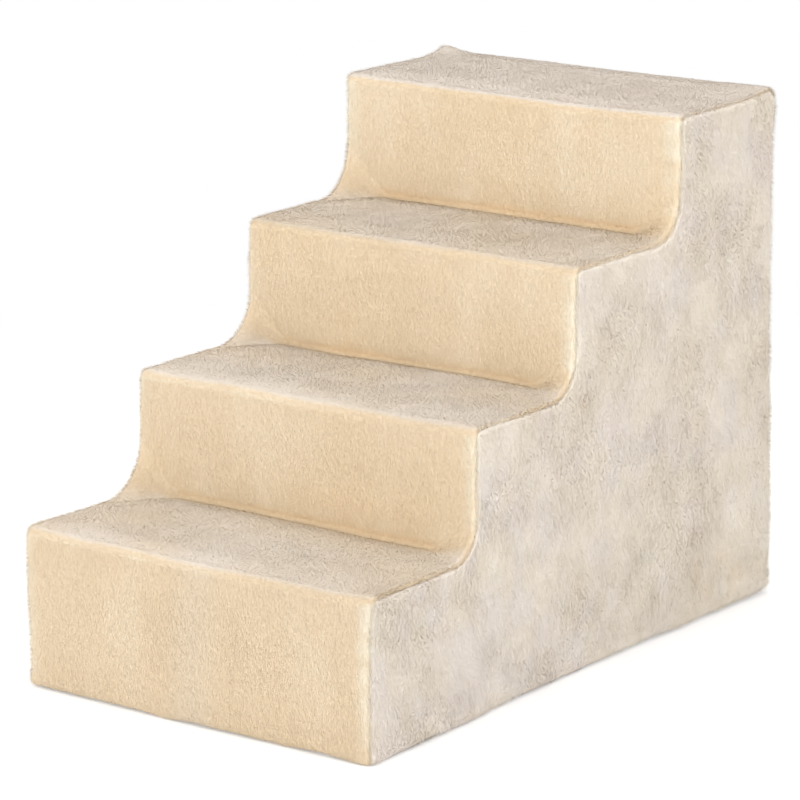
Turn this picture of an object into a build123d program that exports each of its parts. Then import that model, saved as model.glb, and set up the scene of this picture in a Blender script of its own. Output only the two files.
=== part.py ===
"""Pet stairs with four steps: a carcass of boards under a plush slip cover.

Millimetres. X runs across the width, Y from the first riser to the back and Z
up. The origin is on the floor, under the middle of the stairs. Left and right
are those of someone who stands in front of the first step.
"""

import os

from build123d import *

os.makedirs("parts", exist_ok=True)

# Stairs, measured over the plush
step_count = 4
width = 432.0
first_rise = 170.0
rise = 130.0
run = 179.0
top_depth = 197.0

# Plush cover
plush_t = 7.0
fabric_gap = 0.3
nose_lining_r = 5.0
crease_r = 12.0
corner_cove_r = 38.0
cove_blend = 50.0
seam_r = 5.5
hem_clear = 2.0
strip_tail = 34.0

# Boards
side_t = 12.0
tread_t = 12.0
riser_t = 9.0
back_t = 6.0
rail_w = 45.0
rail_t = 18.0
floor_gap = 8.0
pad_t = 8.0

# Wire brads that pin the boards, which are glued too
brad_w = 1.3
brad_t = 1.0
brad_play = 0.05
brad_sink = 0.5
brad_spare = 1.0
side_brad_length = 38.0
back_brad_length = 25.0
tread_brad_inset = 28.0
riser_brad_inset = 30.0
rail_brad_inset = 70.0
back_brad_inset = 40.0
brads_per_tread = 3
brads_per_riser = 2
brads_per_rail = 3
brads_per_edge = 4

# Rubber feet, stuck on
foot_w = 24.0
foot_corner = 4.0
foot_edge = 2.0
foot_inset = 1.0
foot_overlap = 7.0

# Hem under the base
hem_foot_gap = 2.3
hem_t = 0.8
hook_w = 20.0
hook_t = 1.2
hook_space = 2.0
loop_t = 1.2
hem_slit = 20.0

# Zip up the middle of the back
zip_start = 42.0
zip_length = 382.5
tooth_pitch = 4.5
tooth_root = 2.6
tooth_tip = 1.7
tooth_length = 2.2
cord_w = 1.3
chain_t = 2.0
row_gap = 1.5
tape_w = 14.0
tape_t = 0.8
tape_tail = 14.0
stop_length = 3.0

# Zip slider and its pull tab
slider_wall = 0.8
slider_play = 0.2
slider_back_gap = 0.4
slider_length = 14.0
slider_flange = 1.3
slider_mouth_w = 13.6
slider_corner_r = 1.8
divider_w = 0.9
divider_length = 4.0
arch_t = 0.8
arch_w = 2.4
arch_length = 9.0
arch_r = 0.7
tab_t = 1.4
tab_w = 8.0
tab_length = 31.0
tab_play = 0.2
tab_corner_r = 3.0
tab_grip_w = 3.0
tab_grip_length = 9.0
zip_channel_play = 2.0

# Extra reach of a cut past the face that it opens
overrun = 1.0

# Planes and spans that several pieces share
depth = (step_count - 1) * run + top_depth
front_y = -depth / 2
back_y = depth / 2
side_x = width / 2
shell = plush_t + fabric_gap
lining_x = side_x - plush_t
board_x = side_x - shell
inner_x = board_x - side_t
top_z = first_rise + (step_count - 1) * rise
carcass_front = front_y + shell
carcass_back = back_y - shell
back_panel_front = carcass_back - back_t
tread_drop = shell + pad_t
back_lining_r = pad_t
board_top_z = top_z - tread_drop
steps = range(step_count)


def riser_y(step):
    """Where the plush of a riser stands."""
    return front_y + step * run


def tread_z(step):
    """Where the plush of a tread lies."""
    return first_rise + step * rise


def board_front(step):
    """Front face of a riser board, flush with the edge of the tread board on it."""
    return riser_y(step) + shell


def tread_board_top(step):
    """Top face of a tread board, under its pad."""
    return tread_z(step) - tread_drop


def tread_rear(step):
    """Rear edge of a tread board: under the next riser, or at the back panel."""
    if step == steps[-1]:
        return back_panel_front
    return board_front(step + 1) + riser_t


def riser_foot(step):
    """Lower edge of a riser board: the tread it stands on, or the base."""
    return floor_gap if step == 0 else tread_board_top(step - 1)


def riser_head(step):
    """Upper edge of a riser board, under its tread."""
    return tread_board_top(step) - tread_t


def stair_outline(side_inset, top_inset, start_z, end_y, end_z):
    """The stair's outline in Y and Z, from its foot at the front to the back."""
    points = [(front_y + side_inset, start_z)]
    for step in steps:
        points.append((riser_y(step) + side_inset, tread_z(step) - top_inset))
        points.append((riser_y(step + 1) + side_inset, tread_z(step) - top_inset))
    points[-1] = (end_y, top_z - top_inset)
    points.append((end_y, end_z))
    return points


def stair_radii(nose, cove, back):
    """The outline's radii, in the order of its corners."""
    return [nose, cove] * (step_count - 1) + [nose, back]


def save(builder, name):
    """Labels a finished piece and writes it under its name."""
    builder.part.label = name
    export_step(builder.part, f"parts/{name}.step")


def facing(sign, x):
    """A plane that looks out of the left or right side, with Z up in it."""
    return Plane(origin=(x, 0, 0), x_dir=(0, sign, 0), z_dir=(sign, 0, 0))


behind = Plane(origin=(0, carcass_back, 0), x_dir=(-1, 0, 0), z_dir=(0, 1, 0))
below = Plane(origin=(0, 0, 0), x_dir=(1, 0, 0), z_dir=(0, 0, -1))
sides = (("left", -1), ("right", 1))


def spaced(low, high, inset, count):
    """Places spread evenly between two edges, the outer ones inset from them."""
    return [low + inset + (high - low - 2 * inset) * i / (count - 1) for i in range(count)]


# Where the brads go: through the sides as (y, z), through the back as (x, z)
front_rail_y = carcass_front + riser_t + rail_w / 2
rear_rail_y = back_panel_front - rail_w / 2
rail_mid_z = floor_gap + rail_t / 2
long_rail_front = front_rail_y + rail_w / 2
long_rail_rear = rear_rail_y - rail_w / 2
tread_brads = [
    [
        (y, tread_board_top(step) - tread_t / 2)
        for y in spaced(board_front(step), tread_rear(step), tread_brad_inset, brads_per_tread)
    ]
    for step in steps
]
riser_brads = [
    [
        (board_front(step) + riser_t / 2, z)
        for z in spaced(riser_foot(step), riser_head(step), riser_brad_inset, brads_per_riser)
    ]
    for step in steps
]
long_rail_brads = [
    (y, rail_mid_z) for y in spaced(long_rail_front, long_rail_rear, rail_brad_inset, brads_per_rail)
]
cross_rail_brads = [(front_rail_y, rail_mid_z), (rear_rail_y, rail_mid_z)]
side_brads = sum(tread_brads + riser_brads, long_rail_brads + cross_rail_brads)

edge_brads = [
    (sign * (board_x - side_t / 2), z)
    for _, sign in sides
    for z in spaced(floor_gap, board_top_z, back_brad_inset, brads_per_edge)
]
top_brads = [
    (x, board_top_z - tread_t / 2) for x in spaced(-inner_x, inner_x, back_brad_inset, brads_per_edge)
]
low_brads = [(x, rail_mid_z) for x in spaced(-inner_x, inner_x, back_brad_inset, brads_per_edge)]
back_brads = edge_brads + top_brads + low_brads


def brad_holes(plane, places, depth):
    """Cuts the holes that brads go into, down from a face."""
    with Locations(plane):
        with Locations(*places):
            Box(
                brad_t + 2 * brad_play,
                brad_w + 2 * brad_play,
                depth,
                align=(Align.CENTER, Align.CENTER, Align.MAX),
                mode=Mode.SUBTRACT,
            )


def brads(plane, places, length):
    """Brads driven in from a plane, their heads a little under it."""
    with Locations(plane.offset(-brad_sink)):
        with Locations(*places):
            Box(brad_t, brad_w, length, align=(Align.CENTER, Align.CENTER, Align.MAX))


def from_side(sign, places):
    """Places in Y and Z, as seen on the plane that faces out of a side."""
    return [(sign * y, z) for y, z in places]


def from_behind(places):
    """Places in X and Z, as seen from behind."""
    return [(-x, z) for x, z in places]


side_hole = brad_sink + side_brad_length - side_t + brad_spare
back_hole = brad_sink + back_brad_length - back_t + brad_spare
board_back = behind.offset(-back_t)

# Stepped side panels
for side, sign in sides:
    with BuildPart() as side_panel:
        with BuildSketch(Plane.YZ.offset(sign * inner_x)):
            with BuildLine():
                Polyline(
                    *stair_outline(shell, tread_drop, floor_gap, back_panel_front, floor_gap),
                    close=True,
                )
            make_face()
        extrude(amount=sign * side_t)
        brad_holes(facing(sign, sign * board_x), from_side(sign, side_brads), side_t)
        brad_holes(board_back, from_behind(b for b in edge_brads if b[0] * sign > 0), back_hole)
    save(side_panel, f"{side}_side_panel")

# Treads, between the side panels; each reaches back under the riser that stands on it
for step in steps:
    with BuildPart() as tread:
        with BuildSketch(Plane.XY.offset(riser_head(step))):
            with Locations((0, (board_front(step) + tread_rear(step)) / 2)):
                Rectangle(2 * inner_x, tread_rear(step) - board_front(step))
        extrude(amount=tread_t)
        for _, sign in sides:
            brad_holes(facing(sign, sign * inner_x), from_side(sign, tread_brads[step]), side_hole)
        if step == steps[-1]:
            brad_holes(board_back, from_behind(top_brads), back_hole)
    save(tread, f"tread_board_{step + 1}")

# Risers, each from the tread below it to the tread above it
for step in steps:
    with BuildPart() as riser:
        with BuildSketch(Plane.XY.offset(riser_foot(step))):
            with Locations((0, board_front(step) + riser_t / 2)):
                Rectangle(2 * inner_x, riser_t)
        extrude(amount=riser_head(step) - riser_foot(step))
        for _, sign in sides:
            brad_holes(facing(sign, sign * inner_x), from_side(sign, riser_brads[step]), side_hole)
    save(riser, f"riser_board_{step + 1}")

# Back panel, over the rear edges of the side panels and the top tread
with BuildPart() as back_panel:
    with BuildSketch(board_back):
        with Locations((0, (floor_gap + board_top_z) / 2)):
            Rectangle(2 * board_x, board_top_z - floor_gap)
    extrude(amount=back_t)
    brad_holes(behind, from_behind(back_brads), back_t)
save(back_panel, "back_panel")

# Base rails: front and rear between the side panels, the other two between those
for name, place in zip(("front", "rear"), cross_rail_brads):
    with BuildPart() as cross_rail:
        with BuildSketch(Plane.XY.offset(floor_gap)):
            with Locations((0, place[0])):
                Rectangle(2 * inner_x, rail_w)
        extrude(amount=rail_t)
        for _, sign in sides:
            brad_holes(facing(sign, sign * inner_x), from_side(sign, [place]), side_hole)
        if name == "rear":
            brad_holes(board_back, from_behind(low_brads), back_hole)
    save(cross_rail, f"{name}_base_rail")

for side, sign in sides:
    with BuildPart() as long_rail:
        with BuildSketch(Plane.XY.offset(floor_gap)):
            with Locations((sign * (inner_x - rail_w / 2), (long_rail_front + long_rail_rear) / 2)):
                Rectangle(rail_w, long_rail_rear - long_rail_front)
        extrude(amount=rail_t)
        brad_holes(facing(sign, sign * inner_x), from_side(sign, long_rail_brads), side_hole)
    save(long_rail, f"{side}_base_rail")

# Brads through the side panels and through the back panel
for side, sign in sides:
    with BuildPart() as side_pins:
        brads(facing(sign, sign * board_x), from_side(sign, side_brads), side_brad_length)
    save(side_pins, f"side_brads_{side}")

with BuildPart() as back_pins:
    brads(behind, from_behind(back_brads), back_brad_length)
save(back_pins, "back_brads")

# Foam pads, glued on the treads and rounded along the edges that the cover goes round
for step in steps:
    pad_rear = carcass_back if step == steps[-1] else board_front(step + 1)
    with BuildPart() as pad:
        with BuildSketch(Plane.XY.offset(tread_board_top(step))):
            with Locations((0, (board_front(step) + pad_rear) / 2)):
                Rectangle(2 * board_x, pad_rear - board_front(step))
        extrude(amount=pad_t)
        rims = pad.faces().sort_by(Axis.Z)[-1].edges().sort_by(Axis.Y)
        fillet(rims[:-1], radius=nose_lining_r - fabric_gap)
        if step == steps[-1]:
            rear_rim = pad.faces().sort_by(Axis.Z)[-1].edges().sort_by(Axis.Y)[-1]
            fillet(rear_rim, radius=back_lining_r - fabric_gap)
    save(pad, f"tread_pad_{step + 1}")

# Rubber feet under the long rails, those at the ends across their joints too
foot_x = inner_x - rail_w + foot_inset + foot_w / 2
foot_rows = (
    ("front", long_rail_front - foot_overlap),
    ("middle", 0),
    ("rear", long_rail_rear + foot_overlap),
)
for row, y in foot_rows:
    for side, sign in sides:
        with BuildPart() as foot:
            with BuildSketch() as foot_plan:
                with Locations((sign * foot_x, y)):
                    Rectangle(foot_w, foot_w)
                chamfer(foot_plan.vertices(), length=foot_corner)
            extrude(amount=floor_gap)
            chamfer(foot.faces().sort_by(Axis.Z)[0].edges(), length=foot_edge)
        save(foot, f"foot_{row}_{side}")

# Plush step strip: its inner corners open from a crease in the middle to a cove at the sides
strip_end_z = top_z - strip_tail
outer_corners = stair_outline(0, 0, hem_clear, back_y, strip_end_z)
inner_corners = stair_outline(plush_t, plush_t, hem_clear, back_y - plush_t, strip_end_z)
strip_sections = (
    (-lining_x, corner_cove_r),
    (cove_blend - lining_x, crease_r),
    (lining_x - cove_blend, crease_r),
    (lining_x, corner_cove_r),
)
nose_r = nose_lining_r + plush_t
back_edge_r = back_lining_r + plush_t
with BuildPart() as step_strip:
    for x, cove in strip_sections:
        with BuildSketch(Plane.YZ.offset(x)):
            with BuildLine():
                outside = FilletPolyline(*outer_corners, radius=stair_radii(nose_r, cove, back_edge_r))
                inside = FilletPolyline(
                    *inner_corners,
                    radius=stair_radii(nose_lining_r, cove + plush_t, back_lining_r),
                )
                Line(outside @ 0, inside @ 0)
                Line(outside @ 1, inside @ 1)
            make_face()
    loft(ruled=True)
save(step_strip, "cover_step_strip")

# Plush side panels, with the rounded rim where they are sewn to the strip
side_outline = stair_outline(0, 0, hem_clear, back_y, hem_clear)
for side, sign in sides:
    with BuildPart() as cover_side:
        with BuildSketch(Plane.YZ.offset(sign * lining_x)):
            with BuildLine():
                edge = FilletPolyline(
                    *side_outline, radius=stair_radii(nose_r, corner_cove_r, back_edge_r)
                )
                Line(edge @ 0, edge @ 1)
            make_face()
        extrude(amount=sign * plush_t)
        outer_face = cover_side.faces().sort_by(Axis.X)[0 if sign < 0 else -1]
        hem_edge = outer_face.edges().sort_by(Axis.Z)[0]
        fillet([rim for rim in outer_face.edges() if rim != hem_edge], radius=seam_r)
    save(cover_side, f"cover_{side}_side")

# Zip planes, counted out from the back panel
slider_inner_y = carcass_back + slider_back_gap
chain_inner_y = slider_inner_y + slider_wall + slider_play
chain_mid_y = chain_inner_y + chain_t / 2
tape_outer_y = chain_mid_y + tape_t / 2
slider_outer_y = chain_inner_y + chain_t + slider_play + slider_wall
tooth_row_x = row_gap / 2
cord_x = tooth_row_x + tooth_length
tape_x = cord_x + cord_w
tape_edge_x = tape_x + tape_w
zip_end = zip_start + zip_length
channel_x = slider_mouth_w / 2 + zip_channel_play
channel_end = zip_end + stop_length + zip_channel_play

# Plush back panels, sewn together above the zip and to its tapes beside it
for side, sign in sides:
    with BuildPart() as cover_back:
        with BuildSketch(Plane.XZ.offset(-back_y)):
            with Locations((sign * lining_x / 2, (hem_clear + strip_end_z) / 2)):
                Rectangle(lining_x, strip_end_z - hem_clear)
            with Locations((0, (channel_end - overrun) / 2)):
                Rectangle(2 * channel_x, channel_end + overrun, mode=Mode.SUBTRACT)
        extrude(amount=plush_t)
        with BuildSketch(Plane.XZ.offset(plush_t - back_y)):
            with Locations((0, (channel_end + tape_tail - overrun) / 2)):
                Rectangle(2 * (tape_edge_x + fabric_gap), channel_end + tape_tail + overrun)
        extrude(amount=tape_outer_y - back_y + plush_t, dir=(0, 1, 0), mode=Mode.SUBTRACT)
    save(cover_back, f"cover_back_{side}")

# Zip tapes and their rows of teeth; one row stands half a pitch higher than the other
tooth_count = int(zip_length / tooth_pitch) - 1
for side, sign in sides:
    with BuildPart() as tape:
        with BuildSketch(Plane.XZ.offset(-tape_outer_y)):
            with Locations((sign * (tape_x + tape_w / 2), (floor_gap + zip_end + tape_tail) / 2)):
                Rectangle(tape_w, zip_end + tape_tail - floor_gap)
        extrude(amount=tape_t)
    save(tape, f"zip_tape_{side}")

    first_tooth = zip_start + tooth_pitch * (3 + sign) / 4
    with BuildPart() as teeth:
        with BuildSketch(Plane.XZ.offset(-chain_inner_y - chain_t)):
            with Locations((sign * (cord_x + cord_w / 2), zip_start + zip_length / 2)):
                Rectangle(cord_w, zip_length)
            with Locations((0, first_tooth)):
                with GridLocations(0, tooth_pitch, 1, tooth_count, align=(Align.CENTER, Align.MIN)):
                    Polygon(
                        (sign * cord_x, -tooth_root / 2),
                        (sign * tooth_row_x, -tooth_tip / 2),
                        (sign * tooth_row_x, tooth_tip / 2),
                        (sign * cord_x, tooth_root / 2),
                        align=None,
                    )
        extrude(amount=chain_t)
    save(teeth, f"zip_teeth_{side}")

# Stops: one across both rows at the top, and one on each row by the hem
with BuildPart() as upper_stop:
    with BuildSketch(Plane.XZ.offset(-chain_inner_y - chain_t)):
        with Locations((0, zip_end + stop_length / 2)):
            Rectangle(2 * tape_x, stop_length)
    extrude(amount=chain_t)
save(upper_stop, "zip_upper_stop")

with BuildPart() as lower_stops:
    with BuildSketch(Plane.XZ.offset(-chain_inner_y - chain_t)):
        stop_x = (tooth_row_x + tape_x) / 2
        with Locations(*[(sign * stop_x, zip_start - stop_length / 2) for _, sign in sides]):
            Rectangle(tape_x - tooth_row_x, stop_length)
    extrude(amount=chain_t)
save(lower_stops, "zip_lower_stops")

# Zip slider: two plates joined by the divider at its mouth, with an arch for the tab
slider_foot = zip_start + slider_play
slider_mid = slider_foot + slider_length / 2
slider_t = slider_outer_y - slider_inner_y
slider_tail_x = tape_x + slider_play + slider_flange
cavity_x = tape_x + slider_play
arch_inner_h = tab_t + 2 * tab_play
with BuildPart() as slider:
    with BuildSketch(Plane.XZ.offset(-slider_outer_y)) as slider_plan:
        with BuildLine():
            Polyline(
                (-slider_mouth_w / 2, slider_foot),
                (slider_mouth_w / 2, slider_foot),
                (slider_mouth_w / 2, slider_foot + divider_length),
                (slider_tail_x, slider_foot + slider_length),
                (-slider_tail_x, slider_foot + slider_length),
                (-slider_mouth_w / 2, slider_foot + divider_length),
                close=True,
            )
        make_face()
        fillet(slider_plan.vertices(), radius=slider_corner_r)
    extrude(amount=slider_t)
    with BuildSketch(Plane.XZ.offset(-slider_outer_y + slider_wall)):
        with Locations((0, slider_mid)):
            Rectangle(2 * cavity_x, slider_length + 2 * overrun)
    extrude(amount=chain_t + 2 * slider_play, mode=Mode.SUBTRACT)
    with BuildSketch(Plane.XZ.offset(-tape_outer_y - slider_play)):
        with Locations((0, slider_mid)):
            Rectangle(slider_mouth_w + 2 * overrun, slider_length + 2 * overrun)
    extrude(amount=tape_t + 2 * slider_play, mode=Mode.SUBTRACT)
    with BuildSketch(Plane.XZ.offset(-slider_outer_y + slider_wall)):
        with Locations((0, slider_foot + divider_length / 2 + slider_play)):
            Rectangle(divider_w, divider_length)
    extrude(amount=chain_t + 2 * slider_play)
    with BuildSketch(Plane.YZ.offset(-arch_w / 2)) as arch:
        with Locations((slider_outer_y, slider_mid)):
            Rectangle(arch_inner_h + arch_t, arch_length, align=(Align.MIN, Align.CENTER))
        fillet(arch.vertices().group_by(Axis.X)[-1], radius=arch_r)
        with Locations((slider_outer_y, slider_mid)):
            Rectangle(
                arch_inner_h,
                arch_length - 2 * arch_t,
                align=(Align.MIN, Align.CENTER),
                mode=Mode.SUBTRACT,
            )
    extrude(amount=arch_w)
save(slider, "zip_slider")

# Pull tab, hanging from its bar under the slider's arch
tab_y = slider_outer_y + tab_play + tab_t / 2
slot_w = arch_w + 4 * tab_play
slot_length = arch_length / 2 + arch_t
with BuildPart() as tab:
    with BuildSketch(Plane.XZ.offset(-tab_y - tab_t / 2)) as tab_plan:
        with Locations((0, slider_mid)):
            Rectangle(tab_w, tab_length, align=(Align.CENTER, Align.MAX))
        fillet(tab_plan.vertices().group_by(Axis.Y)[0], radius=tab_corner_r)
        with Locations((0, slider_mid)):
            Rectangle(slot_w, slot_length, align=(Align.CENTER, Align.MAX), mode=Mode.SUBTRACT)
        with Locations((0, slider_mid - tab_length + tab_corner_r + tab_grip_length / 2)):
            SlotOverall(tab_grip_length, tab_grip_w, rotation=90, mode=Mode.SUBTRACT)
    extrude(amount=tab_t)
    with Locations((0, tab_y, slider_mid)):
        Cylinder(tab_t / 2, tab_w, rotation=(0, 90, 0))
save(tab, "zip_pull_tab")

# Hem: woven facing sewn into the plush, held under the base by loop and hook tape, clear of the feet
hem_w = lining_x - foot_x - foot_w / 2 - hem_foot_gap
hook_z = floor_gap - hook_t
loop_z = hook_z - loop_t
facing_z = loop_z - hem_t
lining_front = front_y + plush_t
lining_back = back_y - plush_t


def hem_run(panel, reach):
    """Corners of the hem's flat strips under one panel, with mitred ends."""
    inset_x = lining_x - reach
    inset_front = lining_front + reach
    inset_back = lining_back - reach
    if panel == "front":
        return [
            [
                (-lining_x, lining_front),
                (lining_x, lining_front),
                (inset_x, inset_front),
                (-inset_x, inset_front),
            ]
        ]
    if panel == "back":
        return [
            [
                (sign * hem_slit / 2, lining_back),
                (sign * lining_x, lining_back),
                (sign * inset_x, inset_back),
                (sign * hem_slit / 2, inset_back),
            ]
            for sign in (-1, 1)
        ]
    sign = -1 if panel == "left" else 1
    return [
        [
            (sign * lining_x, lining_front),
            (sign * lining_x, lining_back),
            (sign * inset_x, inset_back),
            (sign * inset_x, inset_front),
        ]
    ]


for panel in ("front", "left", "right", "back"):
    with BuildPart() as hem_facing:
        with BuildSketch(Plane.XY.offset(facing_z)):
            for corners in hem_run(panel, hem_w):
                Polygon(*corners, align=None)
        extrude(amount=hem_t)
    save(hem_facing, f"hem_facing_{panel}")

# Straight lengths of hook and loop tape, short of the hem's corners
tape_in = shell + (hem_w - hook_w) / 2
tape_mid = tape_in + hook_w / 2
cross_length = 2 * (side_x - tape_in - hook_w - hook_space)
half_cross = (cross_length - hem_slit) / 2
long_length = 2 * (back_y - tape_in)
tape_strips = (
    (0, front_y + tape_mid, cross_length, hook_w),
    (-(hem_slit + half_cross) / 2, back_y - tape_mid, half_cross, hook_w),
    ((hem_slit + half_cross) / 2, back_y - tape_mid, half_cross, hook_w),
    (tape_mid - side_x, 0, hook_w, long_length),
    (side_x - tape_mid, 0, hook_w, long_length),
)
for name, z, thickness in (("loop_tapes", loop_z, loop_t), ("hook_tapes", hook_z, hook_t)):
    with BuildPart() as strips:
        with BuildSketch(Plane.XY.offset(z)):
            for x, y, strip_w, strip_h in tape_strips:
                with Locations((x, y)):
                    Rectangle(strip_w, strip_h)
        extrude(amount=thickness)
    save(strips, name)
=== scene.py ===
"""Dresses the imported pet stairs: a plush slip cover over a carcass of boards.

Everything is in metres, in the frame of the CAD: X across the width, Y from the
first riser to the back, Z up, with the origin on the floor under the middle.
"""

import itertools
import logging
import math
from dataclasses import dataclass
from enum import Enum
from typing import Any, Callable, Sequence

import bmesh
import bpy
import numpy as np
from bpy.types import ID, Material, Node, NodeSocket, Object
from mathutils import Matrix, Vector
from mathutils.geometry import delaunay_2d_cdt
from mathutils.kdtree import KDTree


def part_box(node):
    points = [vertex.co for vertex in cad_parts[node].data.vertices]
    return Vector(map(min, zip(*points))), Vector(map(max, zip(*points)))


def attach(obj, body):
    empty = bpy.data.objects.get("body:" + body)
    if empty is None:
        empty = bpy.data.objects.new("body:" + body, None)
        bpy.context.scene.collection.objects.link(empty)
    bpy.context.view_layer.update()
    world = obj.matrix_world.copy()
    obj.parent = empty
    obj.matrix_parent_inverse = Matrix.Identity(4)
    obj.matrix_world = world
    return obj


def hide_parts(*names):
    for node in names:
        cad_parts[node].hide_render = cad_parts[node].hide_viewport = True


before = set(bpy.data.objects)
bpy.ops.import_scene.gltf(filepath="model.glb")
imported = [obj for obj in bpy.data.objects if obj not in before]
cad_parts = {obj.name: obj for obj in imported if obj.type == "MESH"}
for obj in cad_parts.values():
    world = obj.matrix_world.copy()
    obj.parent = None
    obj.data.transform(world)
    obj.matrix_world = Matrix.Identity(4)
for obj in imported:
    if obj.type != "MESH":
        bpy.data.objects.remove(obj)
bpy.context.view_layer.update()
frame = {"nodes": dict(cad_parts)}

logging.basicConfig(level=logging.INFO, format="%(name)s: %(message)s")
log = logging.getLogger("pet_stairs")

Array = np.ndarray
Vec3 = tuple[float, float, float]
Colour = Vec3
BODY = "stairs"
MM = 0.001
TINY = 1e-9
SIM_FRAMES = 20
AIM = (0.0, 0.0, 0.28)


class Side(Enum):
    """The two sides of the stairs, by the sign of their X."""

    LEFT = -1
    RIGHT = 1

    @property
    def label(self) -> str:
        """The side's name as the CAD nodes have it."""
        return self.name.lower()


class Region(Enum):
    """The parts of the cover that have a pile of their own."""

    STEPS = "steps"
    SIDE = "side"
    BACK = "back"


# Shader maths


def math_operator(operation: str, swapped: bool = False) -> Callable[..., "Signal"]:
    """A method that adds a Math node over its signal and any other values.

    Args:
        operation: The Math node's operation.
        swapped: True where the signal is the second value.

    Returns:
        The method.
    """

    def method(self: "Signal", *others: Any) -> "Signal":
        """Adds the node."""
        values = (*others, self) if swapped else (self, *others)
        return self.sheet.add("ShaderNodeMath", {"operation": operation}, *values)

    return method


class Signal:
    """A shader socket that takes part in Python arithmetic."""

    __add__ = __radd__ = math_operator("ADD")
    __sub__ = math_operator("SUBTRACT")
    __rsub__ = math_operator("SUBTRACT", swapped=True)
    __mul__ = __rmul__ = math_operator("MULTIPLY")
    __pow__ = math_operator("POWER")
    wave = math_operator("SINE")

    def __init__(self, sheet: "NodeSheet", socket: NodeSocket) -> None:
        """Wraps one output socket of a node sheet."""
        self.sheet = sheet
        self.socket = socket

    def ramp(self, low: float, high: float) -> "Signal":
        """Rises smoothly from 0 at low to 1 at high."""
        settings = {"interpolation_type": "SMOOTHSTEP"}
        return self.sheet.add("ShaderNodeMapRange", settings, self, low, high, 0.0, 1.0)


class NodeTree:
    """A node tree whose nodes are added and fed in one call."""

    def __init__(self, tree: bpy.types.NodeTree) -> None:
        """Takes a tree over and empties it."""
        self.tree = tree
        tree.nodes.clear()

    def feed(self, socket: NodeSocket, value: Any) -> None:
        """Links a signal or socket to a socket, or writes a value on it; None leaves it alone.

        Args:
            socket: The input socket.
            value: What feeds it.
        """
        if isinstance(value, Signal):
            value = value.socket
        if isinstance(value, NodeSocket):
            self.tree.links.new(value, socket)
        elif value is not None:
            socket.default_value = (*value, 1.0) if socket.type == "RGBA" else value

    def node(self, kind: str, settings: dict[str, Any] | None = None, **sockets: Any) -> Node:
        """Adds a node with its settings, and feeds its inputs by name.

        Args:
            kind: The node's type.
            settings: Its properties, set before its sockets.
            sockets: What feeds its inputs, by name.

        Returns:
            The node.
        """
        made = self.tree.nodes.new(kind)
        for name, setting in (settings or {}).items():
            setattr(made, name, setting)
        for name, value in sockets.items():
            self.feed(made.inputs[name], value)
        return made

    def wired(self, kind: str, settings: dict[str, Any], *values: Any, out: int | str = 0) -> NodeSocket:
        """Adds a node.

        Args:
            kind: The node's type.
            settings: Its properties, set before its sockets.
            values: What feeds its input sockets in order; None leaves one alone.
            out: The output socket that is wanted.

        Returns:
            That output socket.
        """
        node = self.node(kind, settings)
        for socket, value in zip((s for s in node.inputs if s.enabled), values):
            self.feed(socket, value)
        return node.outputs[out] if isinstance(out, str) else [s for s in node.outputs if s.enabled][out]


class NodeSheet(NodeTree):
    """The node tree of one material."""

    def __init__(self, name: str) -> None:
        """Starts a material with a Principled shader on its output.

        Args:
            name: The material's name.
        """
        self.material = bpy.data.materials.new(name)
        self.material.use_nodes = True
        super().__init__(self.material.node_tree)
        self.shader = self.node("ShaderNodeBsdfPrincipled")
        self.output = self.node("ShaderNodeOutputMaterial", Surface=self.shader.outputs[0])

    def add(self, kind: str, settings: dict[str, Any], *values: Any, out: int | str = 0) -> Signal:
        """Adds a node and gives one output as a signal."""
        return Signal(self, self.wired(kind, settings, *values, out=out))

    def place(self, scale: Vec3 = (1.0, 1.0, 1.0)) -> Signal:
        """Object coordinates, stretched by a scale for each axis."""
        return self.times(self.add("ShaderNodeTexCoord", {}, out="Object"), scale)

    def axis(self, which: int) -> Signal:
        """One of the object coordinates."""
        where = self.add("ShaderNodeTexCoord", {}, out="Object")
        return self.add("ShaderNodeSeparateXYZ", {}, where, out=which)

    def times(self, value: Signal, factors: Vec3) -> Signal:
        """A vector or a colour times a factor for each of its parts."""
        return self.add("ShaderNodeVectorMath", {"operation": "MULTIPLY"}, value, factors)

    def noise(self, place: Signal, scale: float, detail: float = 2.0, rough: float = 0.5) -> Signal:
        """Soft noise, about 0.5 on average."""
        settings = {"noise_dimensions": "3D"}
        return self.add("ShaderNodeTexNoise", settings, place, scale, detail, rough)

    def value_of(self, attribute: str) -> Signal:
        """A number that the mesh carries."""
        settings = {"attribute_name": attribute, "attribute_type": "GEOMETRY"}
        return self.add("ShaderNodeAttribute", settings, out="Fac")

    def blend(self, factor: Any, first: Any, second: Any) -> Signal:
        """Mixes two colours.

        Args:
            factor: 0 for the first colour, 1 for the second.
            first: A colour or its socket.
            second: Another.

        Returns:
            The mixed colour.
        """
        mix = self.node("ShaderNodeMix", {"data_type": "RGBA"})
        for identifier, value in (("Factor_Float", factor), ("A_Color", first), ("B_Color", second)):
            self.feed(next(s for s in mix.inputs if s.identifier == identifier), value)
        return Signal(self, next(s for s in mix.outputs if s.identifier == "Result_Color"))

    def bump(self, height: Signal, distance: float, strength: float = 1.0) -> Signal:
        """A Bump node for the shader's Normal."""
        node = self.node("ShaderNodeBump", Distance=distance, Strength=strength, Height=height)
        return Signal(self, node.outputs[0])

    def finish(self, **sockets: Any) -> Material:
        """Feeds the shader's sockets by name, with _ for a space.

        Args:
            sockets: What feeds each socket.

        Returns:
            The finished material.
        """
        for name, value in sockets.items():
            self.feed(self.shader.inputs[name.replace("_", " ")], value)
        return self.material


# Finishes


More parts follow.
